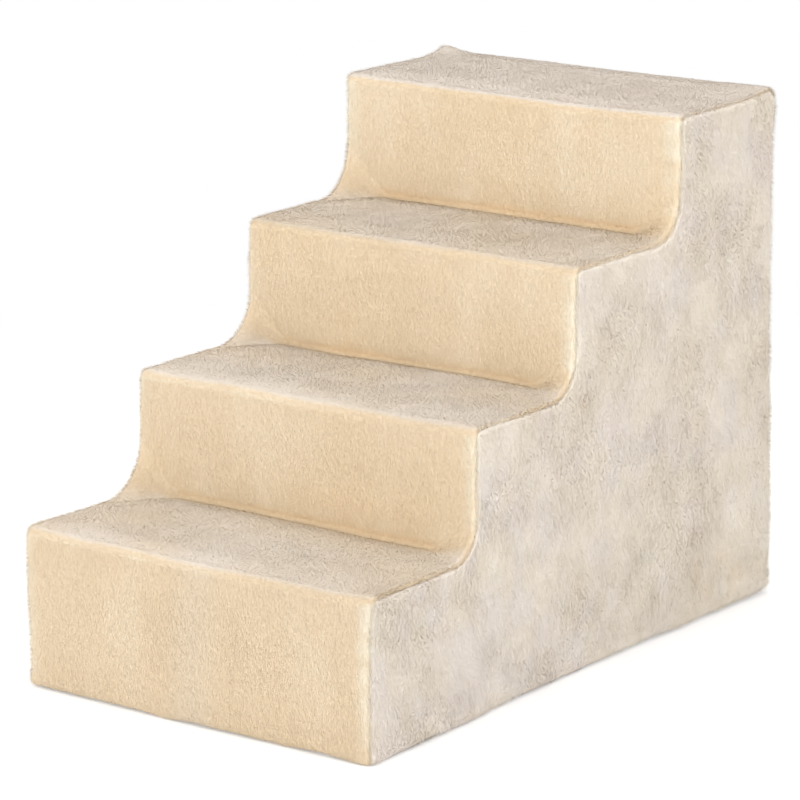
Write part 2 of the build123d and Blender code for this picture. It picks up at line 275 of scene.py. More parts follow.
@dataclass(frozen=True)
class Plush:
    """Cream plush: its nap runs from shade to glow by tone, and from cool to warm by warmth; each hair
    darkens to its root as painted shade.
    """

    name: str
    shade: Colour
    body: Colour
    glow: Colour
    warm: Colour
    cool_tint: Colour
    root_share: float

    def material(self, pile: bool) -> Material:
        """Builds the finish.

        Args:
            pile: True for the hairs, False for the cloth under them.

        Returns:
            The material.
        """
        sheet = NodeSheet(self.name + ("_pile" if pile else "_cloth"))
        tone, warmth = sheet.value_of("tone"), sheet.value_of("warmth")
        if not pile:
            place = sheet.place()
            tone = tone + (sheet.noise(place, 260.0, 3.0, 0.6) - 0.5) * 0.5
        colour = sheet.blend(tone.ramp(0.0, 0.55), self.shade, self.body)
        colour = sheet.blend(tone.ramp(0.5, 1.0), colour, self.glow)
        colour = sheet.blend(warmth.ramp(0.0, 0.3), sheet.times(colour, self.cool_tint), colour)
        colour = sheet.blend(warmth.ramp(0.3, 1.0) * 0.8, colour, self.warm)
        if pile:
            # Painted shade: each hair darkens towards its root, standing in for the shade deep in the pile
            tip = sheet.value_of("tip").ramp(-0.35, 0.75)
            colour = sheet.blend(tip, sheet.times(colour, (self.root_share,) * 3), colour)
            return sheet.finish(Base_Color=colour, Roughness=0.85, Sheen_Weight=0.25, Sheen_Roughness=0.5)
        height = sheet.noise(sheet.place((1.0, 1.0, 0.35)), 420.0, 4.0, 0.65)
        normal = sheet.bump(height, 0.0012, 0.8)
        return sheet.finish(Base_Color=colour, Roughness=0.95, Normal=normal)


@dataclass(frozen=True)
class Wood:
    """Sawn wood or board, with grain along one axis."""

    name: str
    pale: Colour
    dark: Colour
    stretch: Vec3
    rings: float
    roughness: float

    def material(self) -> Material:
        """Builds the finish: growth bands, pores and a faint dirt in them.

        Returns:
            The material.
        """
        sheet = NodeSheet(self.name)
        place = sheet.place(self.stretch)
        drift = sheet.noise(place, 6.0, 3.0, 0.55)
        bands = ((drift * self.rings).wave() * 0.5 + 0.5) ** 1.6
        pores = sheet.noise(place, 190.0, 4.0, 0.7).ramp(0.52, 0.72)
        colour = sheet.blend(bands * 0.7, self.pale, self.dark)
        colour = sheet.blend(pores * 0.45, colour, tuple(0.6 * c for c in self.dark))
        blotch = sheet.noise(sheet.place(), 9.0, 2.0, 0.5).ramp(0.35, 0.7)
        colour = sheet.blend(blotch * 0.25, colour, tuple(min(1.0, 1.12 * c) for c in self.pale))
        rough = self.roughness + pores * 0.2 - bands * 0.06
        normal = sheet.bump(bands * 0.4 + pores * -0.6, 0.0003)
        return sheet.finish(Base_Color=colour, Roughness=rough, Normal=normal)


@dataclass(frozen=True)
class Pressed:
    """Hardboard or foam: specks and fibres with no grain."""

    name: str
    pale: Colour
    dark: Colour
    cell: float
    depth: float
    roughness: float

    def material(self) -> Material:
        """Builds the finish from cells and soft noise.

        Returns:
            The material.
        """
        sheet = NodeSheet(self.name)
        place = sheet.place()
        cells = sheet.add("ShaderNodeTexVoronoi", {"feature": "F1"}, place, 1.0 / self.cell, out="Distance")
        cells = cells.ramp(0.1, 0.7)
        cloud = sheet.noise(place, 30.0, 4.0, 0.6)
        colour = sheet.blend(cells * 0.6, self.dark, self.pale)
        colour = sheet.blend(cloud.ramp(0.4, 0.7) * 0.35, colour, self.dark)
        rough = self.roughness + cloud * 0.1
        normal = sheet.bump(cells + cloud * 0.5, self.depth)
        return sheet.finish(Base_Color=colour, Roughness=rough, Normal=normal)


@dataclass(frozen=True)
class Woven:
    """A woven tape: crossing yarns, seen on the flat plane that it lies in."""

    name: str
    yarn: Colour
    gap: Colour
    pitch: float
    across: int
    along: int
    fuzz: float

    def material(self) -> Material:
        """Builds the finish from two crossing waves and a little fuzz.

        Returns:
            The material.
        """
        sheet = NodeSheet(self.name)
        turn = 2.0 * math.pi / self.pitch
        warp = (sheet.axis(self.across) * turn).wave()
        weft = (sheet.axis(self.along) * turn).wave()
        over = (warp * weft) * 0.5 + 0.5
        fuzz = sheet.noise(sheet.place(), 900.0, 3.0, 0.7)
        height = over * (1.0 - self.fuzz) + fuzz * self.fuzz
        dirt = sheet.noise(sheet.place(), 24.0, 3.0, 0.6).ramp(0.45, 0.8)
        colour = sheet.blend(height.ramp(0.15, 0.75), self.gap, self.yarn)
        colour = sheet.blend(dirt * 0.15, colour, self.gap)
        rough = 0.95 - over * 0.12
        normal = sheet.bump(height, 0.00025)
        return sheet.finish(Base_Color=colour, Roughness=rough, Normal=normal)


@dataclass(frozen=True)
class Moulded:
    """Moulded plastic or rubber with a fine matt skin and a few scuffs."""

    name: str
    colour: Colour
    scuff: Colour
    roughness: float
    grain: float

    def material(self) -> Material:
        """Builds the finish.

        Returns:
            The material.
        """
        sheet = NodeSheet(self.name)
        place = sheet.place()
        grain = sheet.noise(place, self.grain, 3.0, 0.6)
        wear = sheet.noise(place, self.grain / 14.0, 4.0, 0.65).ramp(0.55, 0.8)
        colour = sheet.blend(wear * 0.4, self.colour, self.scuff)
        rough = self.roughness + wear * 0.15 + grain * 0.08
        normal = sheet.bump(grain, 0.00008)
        return sheet.finish(Base_Color=colour, Roughness=rough, Normal=normal)


@dataclass(frozen=True)
class Metal:
    """Plated or drawn metal with fine draw lines."""

    name: str
    colour: Colour
    tarnish: Colour
    roughness: float
    lines: Vec3

    def material(self) -> Material:
        """Builds the finish.

        Returns:
            The material.
        """
        sheet = NodeSheet(self.name)
        draw = sheet.noise(sheet.place(self.lines), 240.0, 3.0, 0.7)
        spots = sheet.noise(sheet.place(), 300.0, 3.0, 0.6).ramp(0.55, 0.75)
        colour = sheet.blend(spots * 0.5, self.colour, self.tarnish)
        rough = self.roughness + draw * 0.12 + spots * 0.2
        normal = sheet.bump(draw, 0.00003)
        return sheet.finish(Base_Color=colour, Roughness=rough, Metallic=1.0, Normal=normal)


# Mesh tools


def soft_noise(points: Array, size: float, seed: int) -> Array:
    """Smooth repeatable noise.

    Args:
        points: An array of n points.
        size: How far apart its hills stand, in metres.
        seed: Picks the pattern.

    Returns:
        n values from -1 to 1.
    """
    table = np.random.default_rng(seed).uniform(-1.0, 1.0, (32, 32, 32))
    spot = points / size + 64.0
    cell = np.floor(spot).astype(int)
    part = spot - cell
    part = part * part * (3.0 - 2.0 * part)
    total = np.zeros(len(points))
    for corner in itertools.product((0, 1), repeat=3):
        weight = np.prod(np.where(corner, part, 1.0 - part), axis=1)
        at = (cell + corner) % 32
        total += weight * table[at[:, 0], at[:, 1], at[:, 2]]
    return total


def bell(distance: Array, reach: float) -> Array:
    """A hill of height 1 that falls off over a reach."""
    return np.exp(-((distance / reach) ** 2))


def step_between(values: Array, low: float, high: float) -> Array:
    """Rises smoothly from 0 at low to 1 at high."""
    t = np.clip((values - low) / (high - low), 0.0, 1.0)
    return t * t * (3.0 - 2.0 * t)


def put(name: str, data: ID) -> Object:
    """Puts data into the scene as an object.

    Args:
        name: The object's name.
        data: What it shows.

    Returns:
        The object.
    """
    made = bpy.data.objects.new(name, data)
    bpy.context.scene.collection.objects.link(made)
    return made


def mesh_object(name: str, points: Array, faces: Sequence[Sequence[int]]) -> Object:
    """Makes a smooth-shaded mesh object in the scene.

    Args:
        name: The name of mesh and object.
        points: The vertices.
        faces: Each face's vertices.

    Returns:
        The object.
    """
    mesh = bpy.data.meshes.new(name)
    mesh.from_pydata([tuple(p) for p in points], [], [tuple(f) for f in faces])
    mesh.shade_smooth()
    return put(name, mesh)


def tube(name: str, rings: Array, flip: bool = False) -> Object:
    """Joins rings of equally many points, with a lid on both ends.

    Args:
        name: The object's name.
        rings: Rings by points by XYZ.
        flip: Turns every face over.

    Returns:
        The object.
    """
    count, around = rings.shape[:2]
    faces = [tuple(range(around - 1, -1, -1)), tuple(range((count - 1) * around, count * around))]
    for r in range(count - 1):
        for c in range(around):
            a, b = r * around + c, r * around + (c + 1) % around
            faces.append((a, b, b + around, a + around))
    return mesh_object(name, rings.reshape(-1, 3), [f[::-1] for f in faces] if flip else faces)


def grid_faces(rows: int, columns: int, flip: bool = False) -> list[tuple[int, int, int, int]]:
    """Quads between rows of points that are stored one after another.

    Args:
        rows: How many rows there are.
        columns: How many points a row has.
        flip: Turns every face over.

    Returns:
        The vertices of each quad.
    """
    faces = []
    for r in range(rows - 1):
        for c in range(columns - 1):
            a = r * columns + c
            face = (a, a + 1, a + columns + 1, a + columns)
            faces.append(face[::-1] if flip else face)
    return faces


def carry(made: Object, name: str, values: Array) -> None:
    """Stores a number or a vector for each vertex of a mesh.

    Args:
        made: The mesh object.
        name: The attribute's name.
        values: A number or a vector for each vertex.
    """
    kind, key = ("FLOAT", "value") if values.ndim == 1 else ("FLOAT_VECTOR", "vector")
    attribute = made.data.attributes.new(name, kind, "POINT")
    attribute.data.foreach_set(key, values.astype(np.float32).ravel())


def vectors_of(items: Any, key: str) -> Array:
    """A vector for each of a mesh's vertices, faces or attribute values.

    Args:
        items: The vertices, faces or values.
        key: The property that is read.

    Returns:
        An array of n vectors.
    """
    values = np.empty(len(items) * 3)
    items.foreach_get(key, values)
    return values.reshape(-1, 3)


def points_of(made: Object) -> Array:
    """The vertices of a mesh object."""
    return vectors_of(made.data.vertices, "co")


def normals_of(made: Object) -> Array:
    """The vertex normals of a mesh object."""
    return vectors_of(made.data.vertex_normals, "vector")


def shade_like_skin(made: Object, share: float) -> None:
    """Lights hairs mostly as their skin, so that the pile reads as one soft surface.

    Args:
        made: The hairs, which carry the skin's normal.
        share: How much of the skin's normal they take.
    """
    skin = vectors_of(made.data.attributes["skin"].data, "vector")
    if (skin * normals_of(made)).sum() < 0:
        made.data.flip_normals()
    mixed = skin * share + normals_of(made) * (1 - share)
    mixed /= np.maximum(np.linalg.norm(mixed, axis=1, keepdims=True), TINY)
    made.data.normals_split_custom_set_from_vertices(mixed.tolist())
    made.data.attributes.remove(made.data.attributes["skin"])


def move_points(made: Object, points: Array) -> None:
    """Writes the vertices of a mesh object."""
    made.data.vertices.foreach_set("co", points.ravel())
    made.data.update()


def clear_of_floor(made: Object, height: float) -> None:
    """Lifts every vertex that lies under a height to it.

    Args:
        made: The mesh object.
        height: The lowest place that is left.
    """
    points = points_of(made)
    points[:, 2] = np.maximum(points[:, 2], height)
    move_points(made, points)


def evaluated(made: Object, name: str) -> Object:
    """A plain mesh of what an object's modifiers make; the object is removed.

    Args:
        made: The object with modifiers.
        name: The result's name.

    Returns:
        The plain mesh object.
    """
    graph = bpy.context.evaluated_depsgraph_get()
    mesh = bpy.data.meshes.new_from_object(made.evaluated_get(graph), depsgraph=graph)
    bpy.data.objects.remove(made)
    mesh.name = name
    return put(name, mesh)


def applied(made: Object) -> Object:
    """The same piece with its modifiers applied.

    Args:
        made: The object with modifiers; it is removed.

    Returns:
        The plain mesh object, under its name.
    """
    name = made.name
    made.name = name + "_raw"
    return evaluated(made, name)


def joined(pieces: list[Object], name: str) -> Object:
    """All of some meshes in the first of them; the others are removed.

    Args:
        pieces: The mesh objects.
        name: The result's name.

    Returns:
        The first object.
    """
    bm = bmesh.new()
    for piece in pieces:
        bm.from_mesh(piece.data)
    bm.to_mesh(pieces[0].data)
    bm.free()
    for piece in pieces[1:]:
        bpy.data.objects.remove(piece)
    pieces[0].name = name
    return pieces[0]


def simulated(made: Object, held: Array, **settings: Any) -> Object:
    """The same piece after a short cloth simulation under pressure, without gravity.

    Args:
        made: The mesh object.
        held: For each vertex, whether it stays where it is.
        settings: More settings of the cloth by name.

    Returns:
        The piece as a plain mesh.
    """
    made.vertex_groups.new(name="held").add(np.flatnonzero(held).tolist(), 1.0, "REPLACE")
    cloth = made.modifiers.new("cloth", "CLOTH")
    for name, value in settings.items():
        setattr(cloth.settings, name, value)
    cloth.settings.use_pressure = True
    cloth.settings.uniform_pressure_force = 4.0
    cloth.settings.effector_weights.gravity = 0.0
    cloth.settings.vertex_group_mass = "held"
    cloth.point_cache.frame_start, cloth.point_cache.frame_end = 1, SIM_FRAMES
    for frame_number in range(1, SIM_FRAMES + 1):
        bpy.context.scene.frame_set(frame_number)
    made = applied(made)
    bpy.context.scene.frame_set(1)
    return made


def capped(move: Array, most: float) -> Array:
    """Moves, none of them longer than a length.

    Args:
        move: An array of n moves.
        most: That length.

    Returns:
        The moves.
    """
    far = np.linalg.norm(move, axis=-1, keepdims=True)
    log.info("simulated moves of up to %.1f mm before the cap", far.max() / MM)
    return move * np.minimum(1.0, most / np.maximum(far, TINY))


def dress(made: Object, material: Material) -> None:
    """Gives a mesh one material."""
    made.data.materials.clear()
    made.data.materials.append(material)


def settle(made: Object, slot: str, *nodes: str) -> Object:
    """Makes a piece ride on the stairs, and stand for CAD nodes.

    Args:
        made: The piece.
        slot: Not used.
        nodes: The CAD nodes that it replaces.

    Returns:
        The piece.
    """
    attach(made, BODY)
    if nodes:
        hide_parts(*nodes)
    log.info("%s: %d faces", made.name, len(made.data.polygons))
    return made


# Geometry nodes


class GeometryTree(NodeTree):
    """A Geometry Nodes tree with named inputs."""

    add = NodeTree.wired

    def __init__(self, name: str) -> None:
        """Starts a tree with a geometry input and output.

        Args:
            name: The tree's name.
        """
        super().__init__(bpy.data.node_groups.new(name, "GeometryNodeTree"))
        self.sockets: dict[str, str] = {}
        self.entry = self.node("NodeGroupInput")
        self.exit = self.node("NodeGroupOutput")
        self.tree.interface.new_socket("Geometry", in_out="OUTPUT", socket_type="NodeSocketGeometry")
        self.input("Geometry", "NodeSocketGeometry")

    def input(self, name: str, kind: str) -> None:
        """Adds a named input."""
        made = self.tree.interface.new_socket(name, in_out="INPUT", socket_type=kind)
        self.sockets[name] = made.identifier

    def __getitem__(self, name: str) -> NodeSocket:
        """The socket of a named input."""
        wanted = self.sockets[name]
        return next(s for s in self.entry.outputs if s.identifier == wanted)

    def maths(self, operation: str, *values: Any) -> NodeSocket:
        """A Math node."""
        return self.add("ShaderNodeMath", {"operation": operation}, *values)

    def vector(self, operation: str, *values: Any, out: int | str = 0) -> NodeSocket:
        """A Vector Math node."""
        return self.add("ShaderNodeVectorMath", {"operation": operation}, *values, out=out)

    def scaled(self, vector: Any, factor: Any) -> NodeSocket:
        """A vector times a number."""
        node = self.node("ShaderNodeVectorMath", {"operation": "SCALE"}, Vector=vector, Scale=factor)
        return node.outputs[0]

    def chance(self, low: float, high: float, seed: int) -> NodeSocket:
        """A random number for each point."""
        return self.add("FunctionNodeRandomValue", {"data_type": "FLOAT"}, low, high, None, seed)

    def noise(self, scale: Any, detail: float, rough: float, out: int | str = 0) -> NodeSocket:
        """Soft noise over the place of each point.

        Args:
            scale: Hills per metre.
            detail: How many finer layers it has.
            rough: How strong those are.
            out: The output socket that is wanted.

        Returns:
            That output socket.
        """
        place = self.add("GeometryNodeInputPosition", {})
        settings = {"noise_dimensions": "3D"}
        return self.add("ShaderNodeTexNoise", settings, place, scale, detail, rough, out=out)

    def named(self, attribute: str, kind: str = "FLOAT") -> NodeSocket:
        """Reads an attribute of the geometry."""
        return self.add("GeometryNodeInputNamedAttribute", {"data_type": kind}, attribute)

    def stored(
        self, geometry: Any, attribute: str, value: Any, kind: str, domain: str
    ) -> NodeSocket:
        """Stores an attribute on the geometry."""
        settings = {"data_type": kind, "domain": domain}
        return self.add("GeometryNodeStoreNamedAttribute", settings, geometry, None, attribute, value)

    def close(self, geometry: Any, material: Any) -> None:
        """Ends the tree in Realize Instances and Set Material."""
        real = self.add("GeometryNodeRealizeInstances", {}, geometry)
        self.feed(self.exit.inputs[0], self.add("GeometryNodeSetMaterial", {}, real, None, material))

    def run(self, source: Object, name: str, **values: Any) -> Object:
        """Runs the tree on an object and keeps the result as a plain mesh.

        Args:
            source: The object that carries the modifier; it is removed.
            name: The result's name.
            values: The tree's inputs by name, with _ for a space.

        Returns:
            The plain mesh object.
        """
        modifier = source.modifiers.new(name, "NODES")
        modifier.node_group = self.tree
        for key, value in values.items():
            modifier[self.sockets[key.replace("_", " ")]] = value
        return evaluated(source, name)


def pile_tree() -> GeometryTree:
    """Hairs over a cloth: leaning along its lay, drawn together in locks.

    Returns:
        The tree.
    """
    g = GeometryTree("pile")
    numbers = ("Density", "Width", "Length", "Lift", "Stray", "Stray Per Metre", "Lock Size", "Lock Pull")
    for name in numbers:
        g.input(name, "NodeSocketFloat")
    for name, kind in (("Seed", "Int"), ("Hair", "Object"), ("Material", "Material")):
        g.input(name, f"NodeSocket{kind}")
    dense = g.maths("MULTIPLY", g["Density"], g.named("cover"))
    spread = g.node(
        "GeometryNodeDistributePointsOnFaces", {}, Mesh=g["Geometry"], Density=dense, Seed=g["Seed"]
    )
    roots, normal = spread.outputs["Points"], spread.outputs["Normal"]
    place = g.add("GeometryNodeInputPosition", {})

    # The lay wanders slowly, and the hairs of a lock lean towards its middle
    drift = g.vector("SUBTRACT", g.noise(g["Stray Per Metre"], 2.0, 0.55, out="Color"), (0.5, 0.5, 0.5))
    lean = g.vector("ADD", g.named("lay", "FLOAT_VECTOR"), g.scaled(drift, g["Stray"]))
    per_metre = g.maths("DIVIDE", 1.0, g["Lock Size"])
    lock = g.add("ShaderNodeTexVoronoi", {"feature": "F1"}, place, per_metre, out="Position")
    inward = g.scaled(g.vector("SUBTRACT", lock, place), g.maths("MULTIPLY", per_metre, g["Lock Pull"]))
    lean = g.vector("ADD", lean, inward)
    loose = g.add("FunctionNodeRandomValue", {"data_type": "FLOAT_VECTOR"}, (-0.3,) * 3, (0.3,) * 3)
    lean = g.vector("ADD", lean, loose)
    lean = g.vector("SUBTRACT", lean, g.scaled(normal, g.vector("DOT_PRODUCT", lean, normal, out="Value")))

    # A few hairs stand up from the others
    upright = g.maths("POWER", g.chance(0.0, 1.0, 9), 9.0)
    rise = g.maths("MULTIPLY_ADD", g["Lift"], g.named("lift"), g.maths("MULTIPLY", upright, 1.6))
    aim = g.vector("NORMALIZE", g.vector("ADD", g.vector("NORMALIZE", lean), g.scaled(normal, rise)))
    roll = g.chance(-0.7, 0.7, 3)
    flat = g.vector("ADD", g.vector("CROSS_PRODUCT", aim, normal), g.scaled(normal, roll))
    turn = g.add("FunctionNodeAxesToRotation", {"primary_axis": "Z", "secondary_axis": "X"}, aim, flat)

    # Each hair has its own length, and a tone that its neighbours nearly share
    rough = g.maths("SUBTRACT", g.noise(220.0, 3.0, 0.6), 0.5)
    tone = g.maths("MULTIPLY_ADD", rough, g.named("mottle"), g.named("tone"))
    tone = g.maths("MULTIPLY_ADD", g.chance(-0.5, 0.5, 5), 0.16, tone)
    tone = g.maths("MAXIMUM", g.maths("MINIMUM", tone, 1.0), 0.0)
    roots = g.stored(roots, "tone", tone, "FLOAT", "POINT")
    roots = g.stored(roots, "skin", normal, "FLOAT_VECTOR", "POINT")
    long = g.maths("MULTIPLY", g.maths("MULTIPLY", g["Length"], g.named("length")), g.chance(0.65, 1.1, 7))
    size = g.add("ShaderNodeCombineXYZ", {}, g["Width"], long, long)
    hair = g.add("GeometryNodeObjectInfo", {}, g["Hair"], out="Geometry")
    hairs = g.add("GeometryNodeInstanceOnPoints", {}, roots, None, hair, None, None, turn, size)
    hairs = g.add("GeometryNodeRealizeInstances", {}, hairs)

    # The bake's map: a tile for each of eight warmths, with tone across it and tip up it
    tile = g.maths("FLOOR", g.maths("MULTIPLY", g.named("warmth"), 7.99))
    across = g.maths("MULTIPLY_ADD", g.named("tone"), 0.86, 0.07)
    across = g.maths("MULTIPLY_ADD", g.named("across"), 0.04, across)
    across = g.maths("DIVIDE", g.maths("ADD", tile, across), 8.0)
    chart = g.add("ShaderNodeCombineXYZ", {}, across, g.named("tip"), 0.0)
    g.close(g.stored(hairs, "OFBake", chart, "FLOAT2", "CORNER"), g["Material"])
    return g


def row_tree() -> GeometryTree:
    """Copies of one small shape along the edges of a wire, turned to follow it.

    Returns:
        The tree.
    """
    g = GeometryTree("row")
    g.input("Count", "NodeSocketInt")
    g.input("Shape", "NodeSocketObject")
    g.input("Material", "NodeSocketMaterial")
    line = g.add("GeometryNodeMeshToCurve", {}, g["Geometry"])
    spots = g.node("GeometryNodeCurveToPoints", {"mode": "COUNT"}, Curve=line, Count=g["Count"])
    shape = g.add("GeometryNodeObjectInfo", {}, g["Shape"], out="Geometry")
    axes = {"primary_axis": "X", "secondary_axis": "Z"}
    facing = g.named("facing", "FLOAT_VECTOR")
    turn = g.add("FunctionNodeAxesToRotation", axes, spots.outputs["Tangent"], facing)
    made = g.add("GeometryNodeInstanceOnPoints", {}, spots.outputs["Points"], None, shape, None, None, turn)
    g.close(made, g["Material"])
    return g


# Stair shape


@dataclass(frozen=True)
class Tug:
    """A place where the soft cover hangs or is stuffed a little off its pattern, in millimetres."""

    place: Vec3
    reach: Vec3
    move: Vec3

    def shift(self, points: Array) -> Array:
        """How far it moves each point."""
        off = (points / MM - self.place) / self.reach
        return np.exp(-(off**2).sum(axis=1))[:, None] * np.array(self.move) * MM


TUGS = (
    Tug((-216, 367, 560), (26, 26, 26), (0, 0, 8)),
    Tug((216, 367, 530), (24, 24, 24), (0, 3, 0)),
    Tug((0, 367, 560), (420, 36, 40), (0, 1, 3.5)),
    Tug((216, 367, 560), (70, 70, 60), (0, 1, 2)),
    Tug((216, 367, 60), (120, 90, 210), (3.5, 5, 0)),
    Tug((216, 367, 0), (70, 320, 14), (0, 0, 3)),
    Tug((-40, -367, 0), (140, 40, 50), (0, -3.5, -1)),
    Tug((-216, -367, 170), (60, 150, 150), (-5.5, 0, 0)),
    Tug((-216, -188, 260), (50, 80, 90), (-3, 0, 0)),
    Tug((216, -355, 0), (40, 40, 16), (0, 0, -1.5)),
    Tug((216, 367, 0), (30, 20, 24), (0, 0, 4)),
    Tug((216, -367, 170), (40, 30, 26), (5, -0.5, 2)),
    Tug((216, 170, 500), (60, 45, 90), (4.5, 0, 0)),
)


@dataclass(frozen=True)
class Stair:
    """Sizes of the covered stairs, the same as the CAD's, and its outline."""

    steps: int = 4
    width: float = 432 * MM
    first_rise: float = 170 * MM
    rise: float = 130 * MM
    run: float = 179 * MM
    top_depth: float = 197 * MM
    plush: float = 7 * MM
    hem: float = 2 * MM
    hem_r: float = 3.4 * MM
    tail: float = 34 * MM
    nose_r: float = 11.5 * MM
    crease_r: float = 4.5 * MM
    cove_r: tuple[float, float] = (54 * MM, 38 * MM)
    cove_blend: float = 62 * MM
    back_r: float = 18 * MM
    roll_r: float = 10.5 * MM
    seam_turn: float = math.radians(52)
    grid: float = 4.4 * MM

    @property
    def half(self) -> float:
        """Half of the width."""
        return self.width / 2

    @property
    def low(self) -> float:
        """Z of every panel's lowest row, where the hem begins."""
        return self.hem + self.hem_r

    @property
    def depth(self) -> float:
        """From the first riser to the back."""
        return (self.steps - 1) * self.run + self.top_depth

    @property
    def height(self) -> float:
        """Of the top tread."""
        return self.first_rise + (self.steps - 1) * self.rise

    def riser(self, step: int) -> float:
        """Y of a riser."""
        return -self.depth / 2 + step * self.run

    def tread(self, step: int) -> float:
        """Z of a tread."""
        return self.first_rise + step * self.rise

    def corners(self) -> list[tuple[float, float]]:
        """The outline's corners in Y and Z, from the hem to the tail behind.

        Returns:
            The corners in order.
        """
        found = [(self.riser(0), self.low)]
        for step in range(self.steps):
            found += [(self.riser(step), self.tread(step)), (self.riser(step + 1), self.tread(step))]
        found[-1] = (self.depth / 2, self.height)
        return found + [(self.depth / 2, self.height - self.tail)]

    def profile(self, cove: float, end: float | None = None) -> tuple[Array, Array]:
        """The outline with its corners rounded.

        Args:
            cove: Radius of the inner corners.
            end: Z at which the back edge ends, or None for the strip's tail.

        Returns:
            Its points in Y and Z and their outward normals. Every radius gives
            the same number of points.
        """
        corners = [np.array(c) for c in self.corners()]
        if end is not None:
            corners[-1] = np.array((self.depth / 2, end))
        radii = [self.nose_r, cove] * (self.steps - 1) + [self.nose_r, self.back_r]
        counts = [8, 12] * (self.steps - 1) + [8, 10]
        points: list[Array] = []
        normals: list[Array] = []
        start = corners[0]
        for i, (radius, count) in enumerate(zip(radii, counts)):
            before, corner, after = corners[i : i + 3]
            ahead = (corner - before) / np.linalg.norm(corner - before)
            beyond = (after - corner) / np.linalg.norm(after - corner)
            stop = corner - ahead * radius
            plain = max(4, round(np.linalg.norm(corner - before) / self.grid))
            out = np.array((-ahead[1], ahead[0]))
            for t in np.linspace(0, 1, plain, endpoint=False):
                points.append(start + (stop - start) * t)
                normals.append(out)
            middle = stop + beyond * radius
            for turn in np.linspace(0, math.pi / 2, count, endpoint=False):
                points.append(middle - beyond * radius * math.cos(turn) + ahead * radius * math.sin(turn))
                bend = 1.0 if ahead[0] * beyond[1] - ahead[1] * beyond[0] < 0 else -1.0
                normals.append(bend * (ahead * math.sin(turn) - beyond * math.cos(turn)))
            start = corner + beyond * radius
        last = corners[-1]
        plain = max(4, round(np.linalg.norm(last - corners[-2]) / self.grid))
        for t in np.linspace(0, 1, plain + 1):
            points.append(start + (last - start) * t)
            normals.append(np.array((1.0, 0.0)))
        return np.array(points), np.array(normals)

    def cove_at(self, x: Array | float) -> Array | float:
        """Radius of the inner corners: a crease in the middle, a cove at the sides.

        Args:
            x: Places across the stairs.

        Returns:
            A radius for each.
        """
        near = step_between(np.abs(np.asarray(x)), self.half - self.cove_blend, self.half - 4 * MM)
        widest = np.where(np.asarray(x) < 0, *self.cove_r)
        return self.crease_r + (widest - self.crease_r) * near

    def rolled(self, points: Array, out: Array, turn: Array | float, side: int) -> Array:
        """Carries outline points round the edge towards a side.

        Args:
            points: Points in Y and Z of the outline.
            out: Their outward normals.
            turn: How far round, from 0 on the steps to a right angle on the side.
            side: The sign of the side's X.

        Returns:
            The points in space, drawn in along the seam.
        """
        turn = np.broadcast_to(turn, len(points))
        inset = self.roll_r * (1.0 - np.cos(turn))
        flat = points - out * inset[:, None]
        x = side * (self.half - self.roll_r + self.roll_r * np.sin(turn))
        place = np.column_stack((x, flat))
        pinch = (1.7 * MM - 1.4 * MM * np.clip(out[:, 1], 0, 1)) * bell(turn - self.seam_turn, 0.22)
        pinch *= 0.72 + 0.4 * soft_noise(place, 14 * MM, 11)
        inward = np.column_stack((-side * np.sin(turn), -out * np.cos(turn)[:, None]))
        return place + inward * pinch[:, None]

    def worn(self, points: Array) -> Array:
        """Moves points as the soft cover gives, smoothly, so that seams stay closed.

        Args:
            points: An array of n points.

        Returns:
            The moved points.
        """
        x, y, z = points.T
        # The sides bulge at the ends and draw in between them
        middle = step_between(y, -0.20, -0.15) * (1 - step_between(y, 0.12, 0.18))
        moves = np.zeros_like(points)
        moves[:, 0] = (np.abs(x) / self.half) ** 3 * np.sign(x) * (1.6 * MM - 4.2 * MM * middle)
        for tug in TUGS:
            moves += tug.shift(points)
        for axis, amount in enumerate((1.3 * MM, 1.1 * MM, 1.1 * MM)):
            push = soft_noise(points, 95 * MM, 20 + axis) + 0.4 * soft_noise(points, 34 * MM, 30 + axis)
            moves[:, axis] += amount * push * (step_between(z, 0.0, 0.03) if axis == 2 else 1.0)
        # The hem is a little wavy, and the cloth lies still beside the zip
        low = bell(np.maximum(z, 0.0), 16 * MM)
        moves[:, 2] += low * 1.4 * MM * soft_noise(points * (1, 1, 0), 38 * MM, 41)
        zipped = step_between(y, 0.30, 0.34) * (1 - step_between(z, 0.44, 0.52))
        zipped = zipped * (1 - step_between(np.abs(x), 24 * MM, 64 * MM))
        worn = points + moves * (1 - zipped)[:, None]
        worn[:, 2] = np.maximum(worn[:, 2], 0.4 * MM)
        return worn

    def hemmed(self, row: Array, out: Array) -> list[Array]:
        """Rows of points that turn a bottom edge under.

        Args:
            row: The edge's points.
            out: The outward normals there, level.

        Returns:
            The rows from the inside of the hem to the row above the given one.
        """
        rows = []
        r = self.hem_r
        for turn in np.linspace(0, math.pi, 8)[1:]:
            shift = out * (r * (math.cos(turn) - 1.0))
            rows.append(row + shift - np.array((0, 0, r * math.sin(turn))))
        rows.append(rows[-1] + np.array((0, 0, 2.5 * MM)))
        return rows[::-1]


# The cover


@dataclass(frozen=True)
class ZipSlot:
    """The opening up the middle of the back, which ends in an arch over the zip."""

    half: float = 9.2 * MM
    straight: float = 418 * MM
    arch: float = 14 * MM
    fold: float = 2.6 * MM
    fine: tuple[float, float] = (0.414, 0.434)
    shallow: tuple[float, float] = (0.424, 0.436)

    def half_at(self, z: float) -> float:
        """Half of its width at a height."""
        return self.half * math.sqrt(max(0.0, 1.0 - max(0.0, (z - self.straight) / self.arch) ** 2))

    def depth_at(self, z: float) -> float:
        """How deep its folded edges reach at a height."""
        return 1.8 * MM + 2.7 * MM * (1.0 - float(step_between(np.array(z), *self.shallow)))


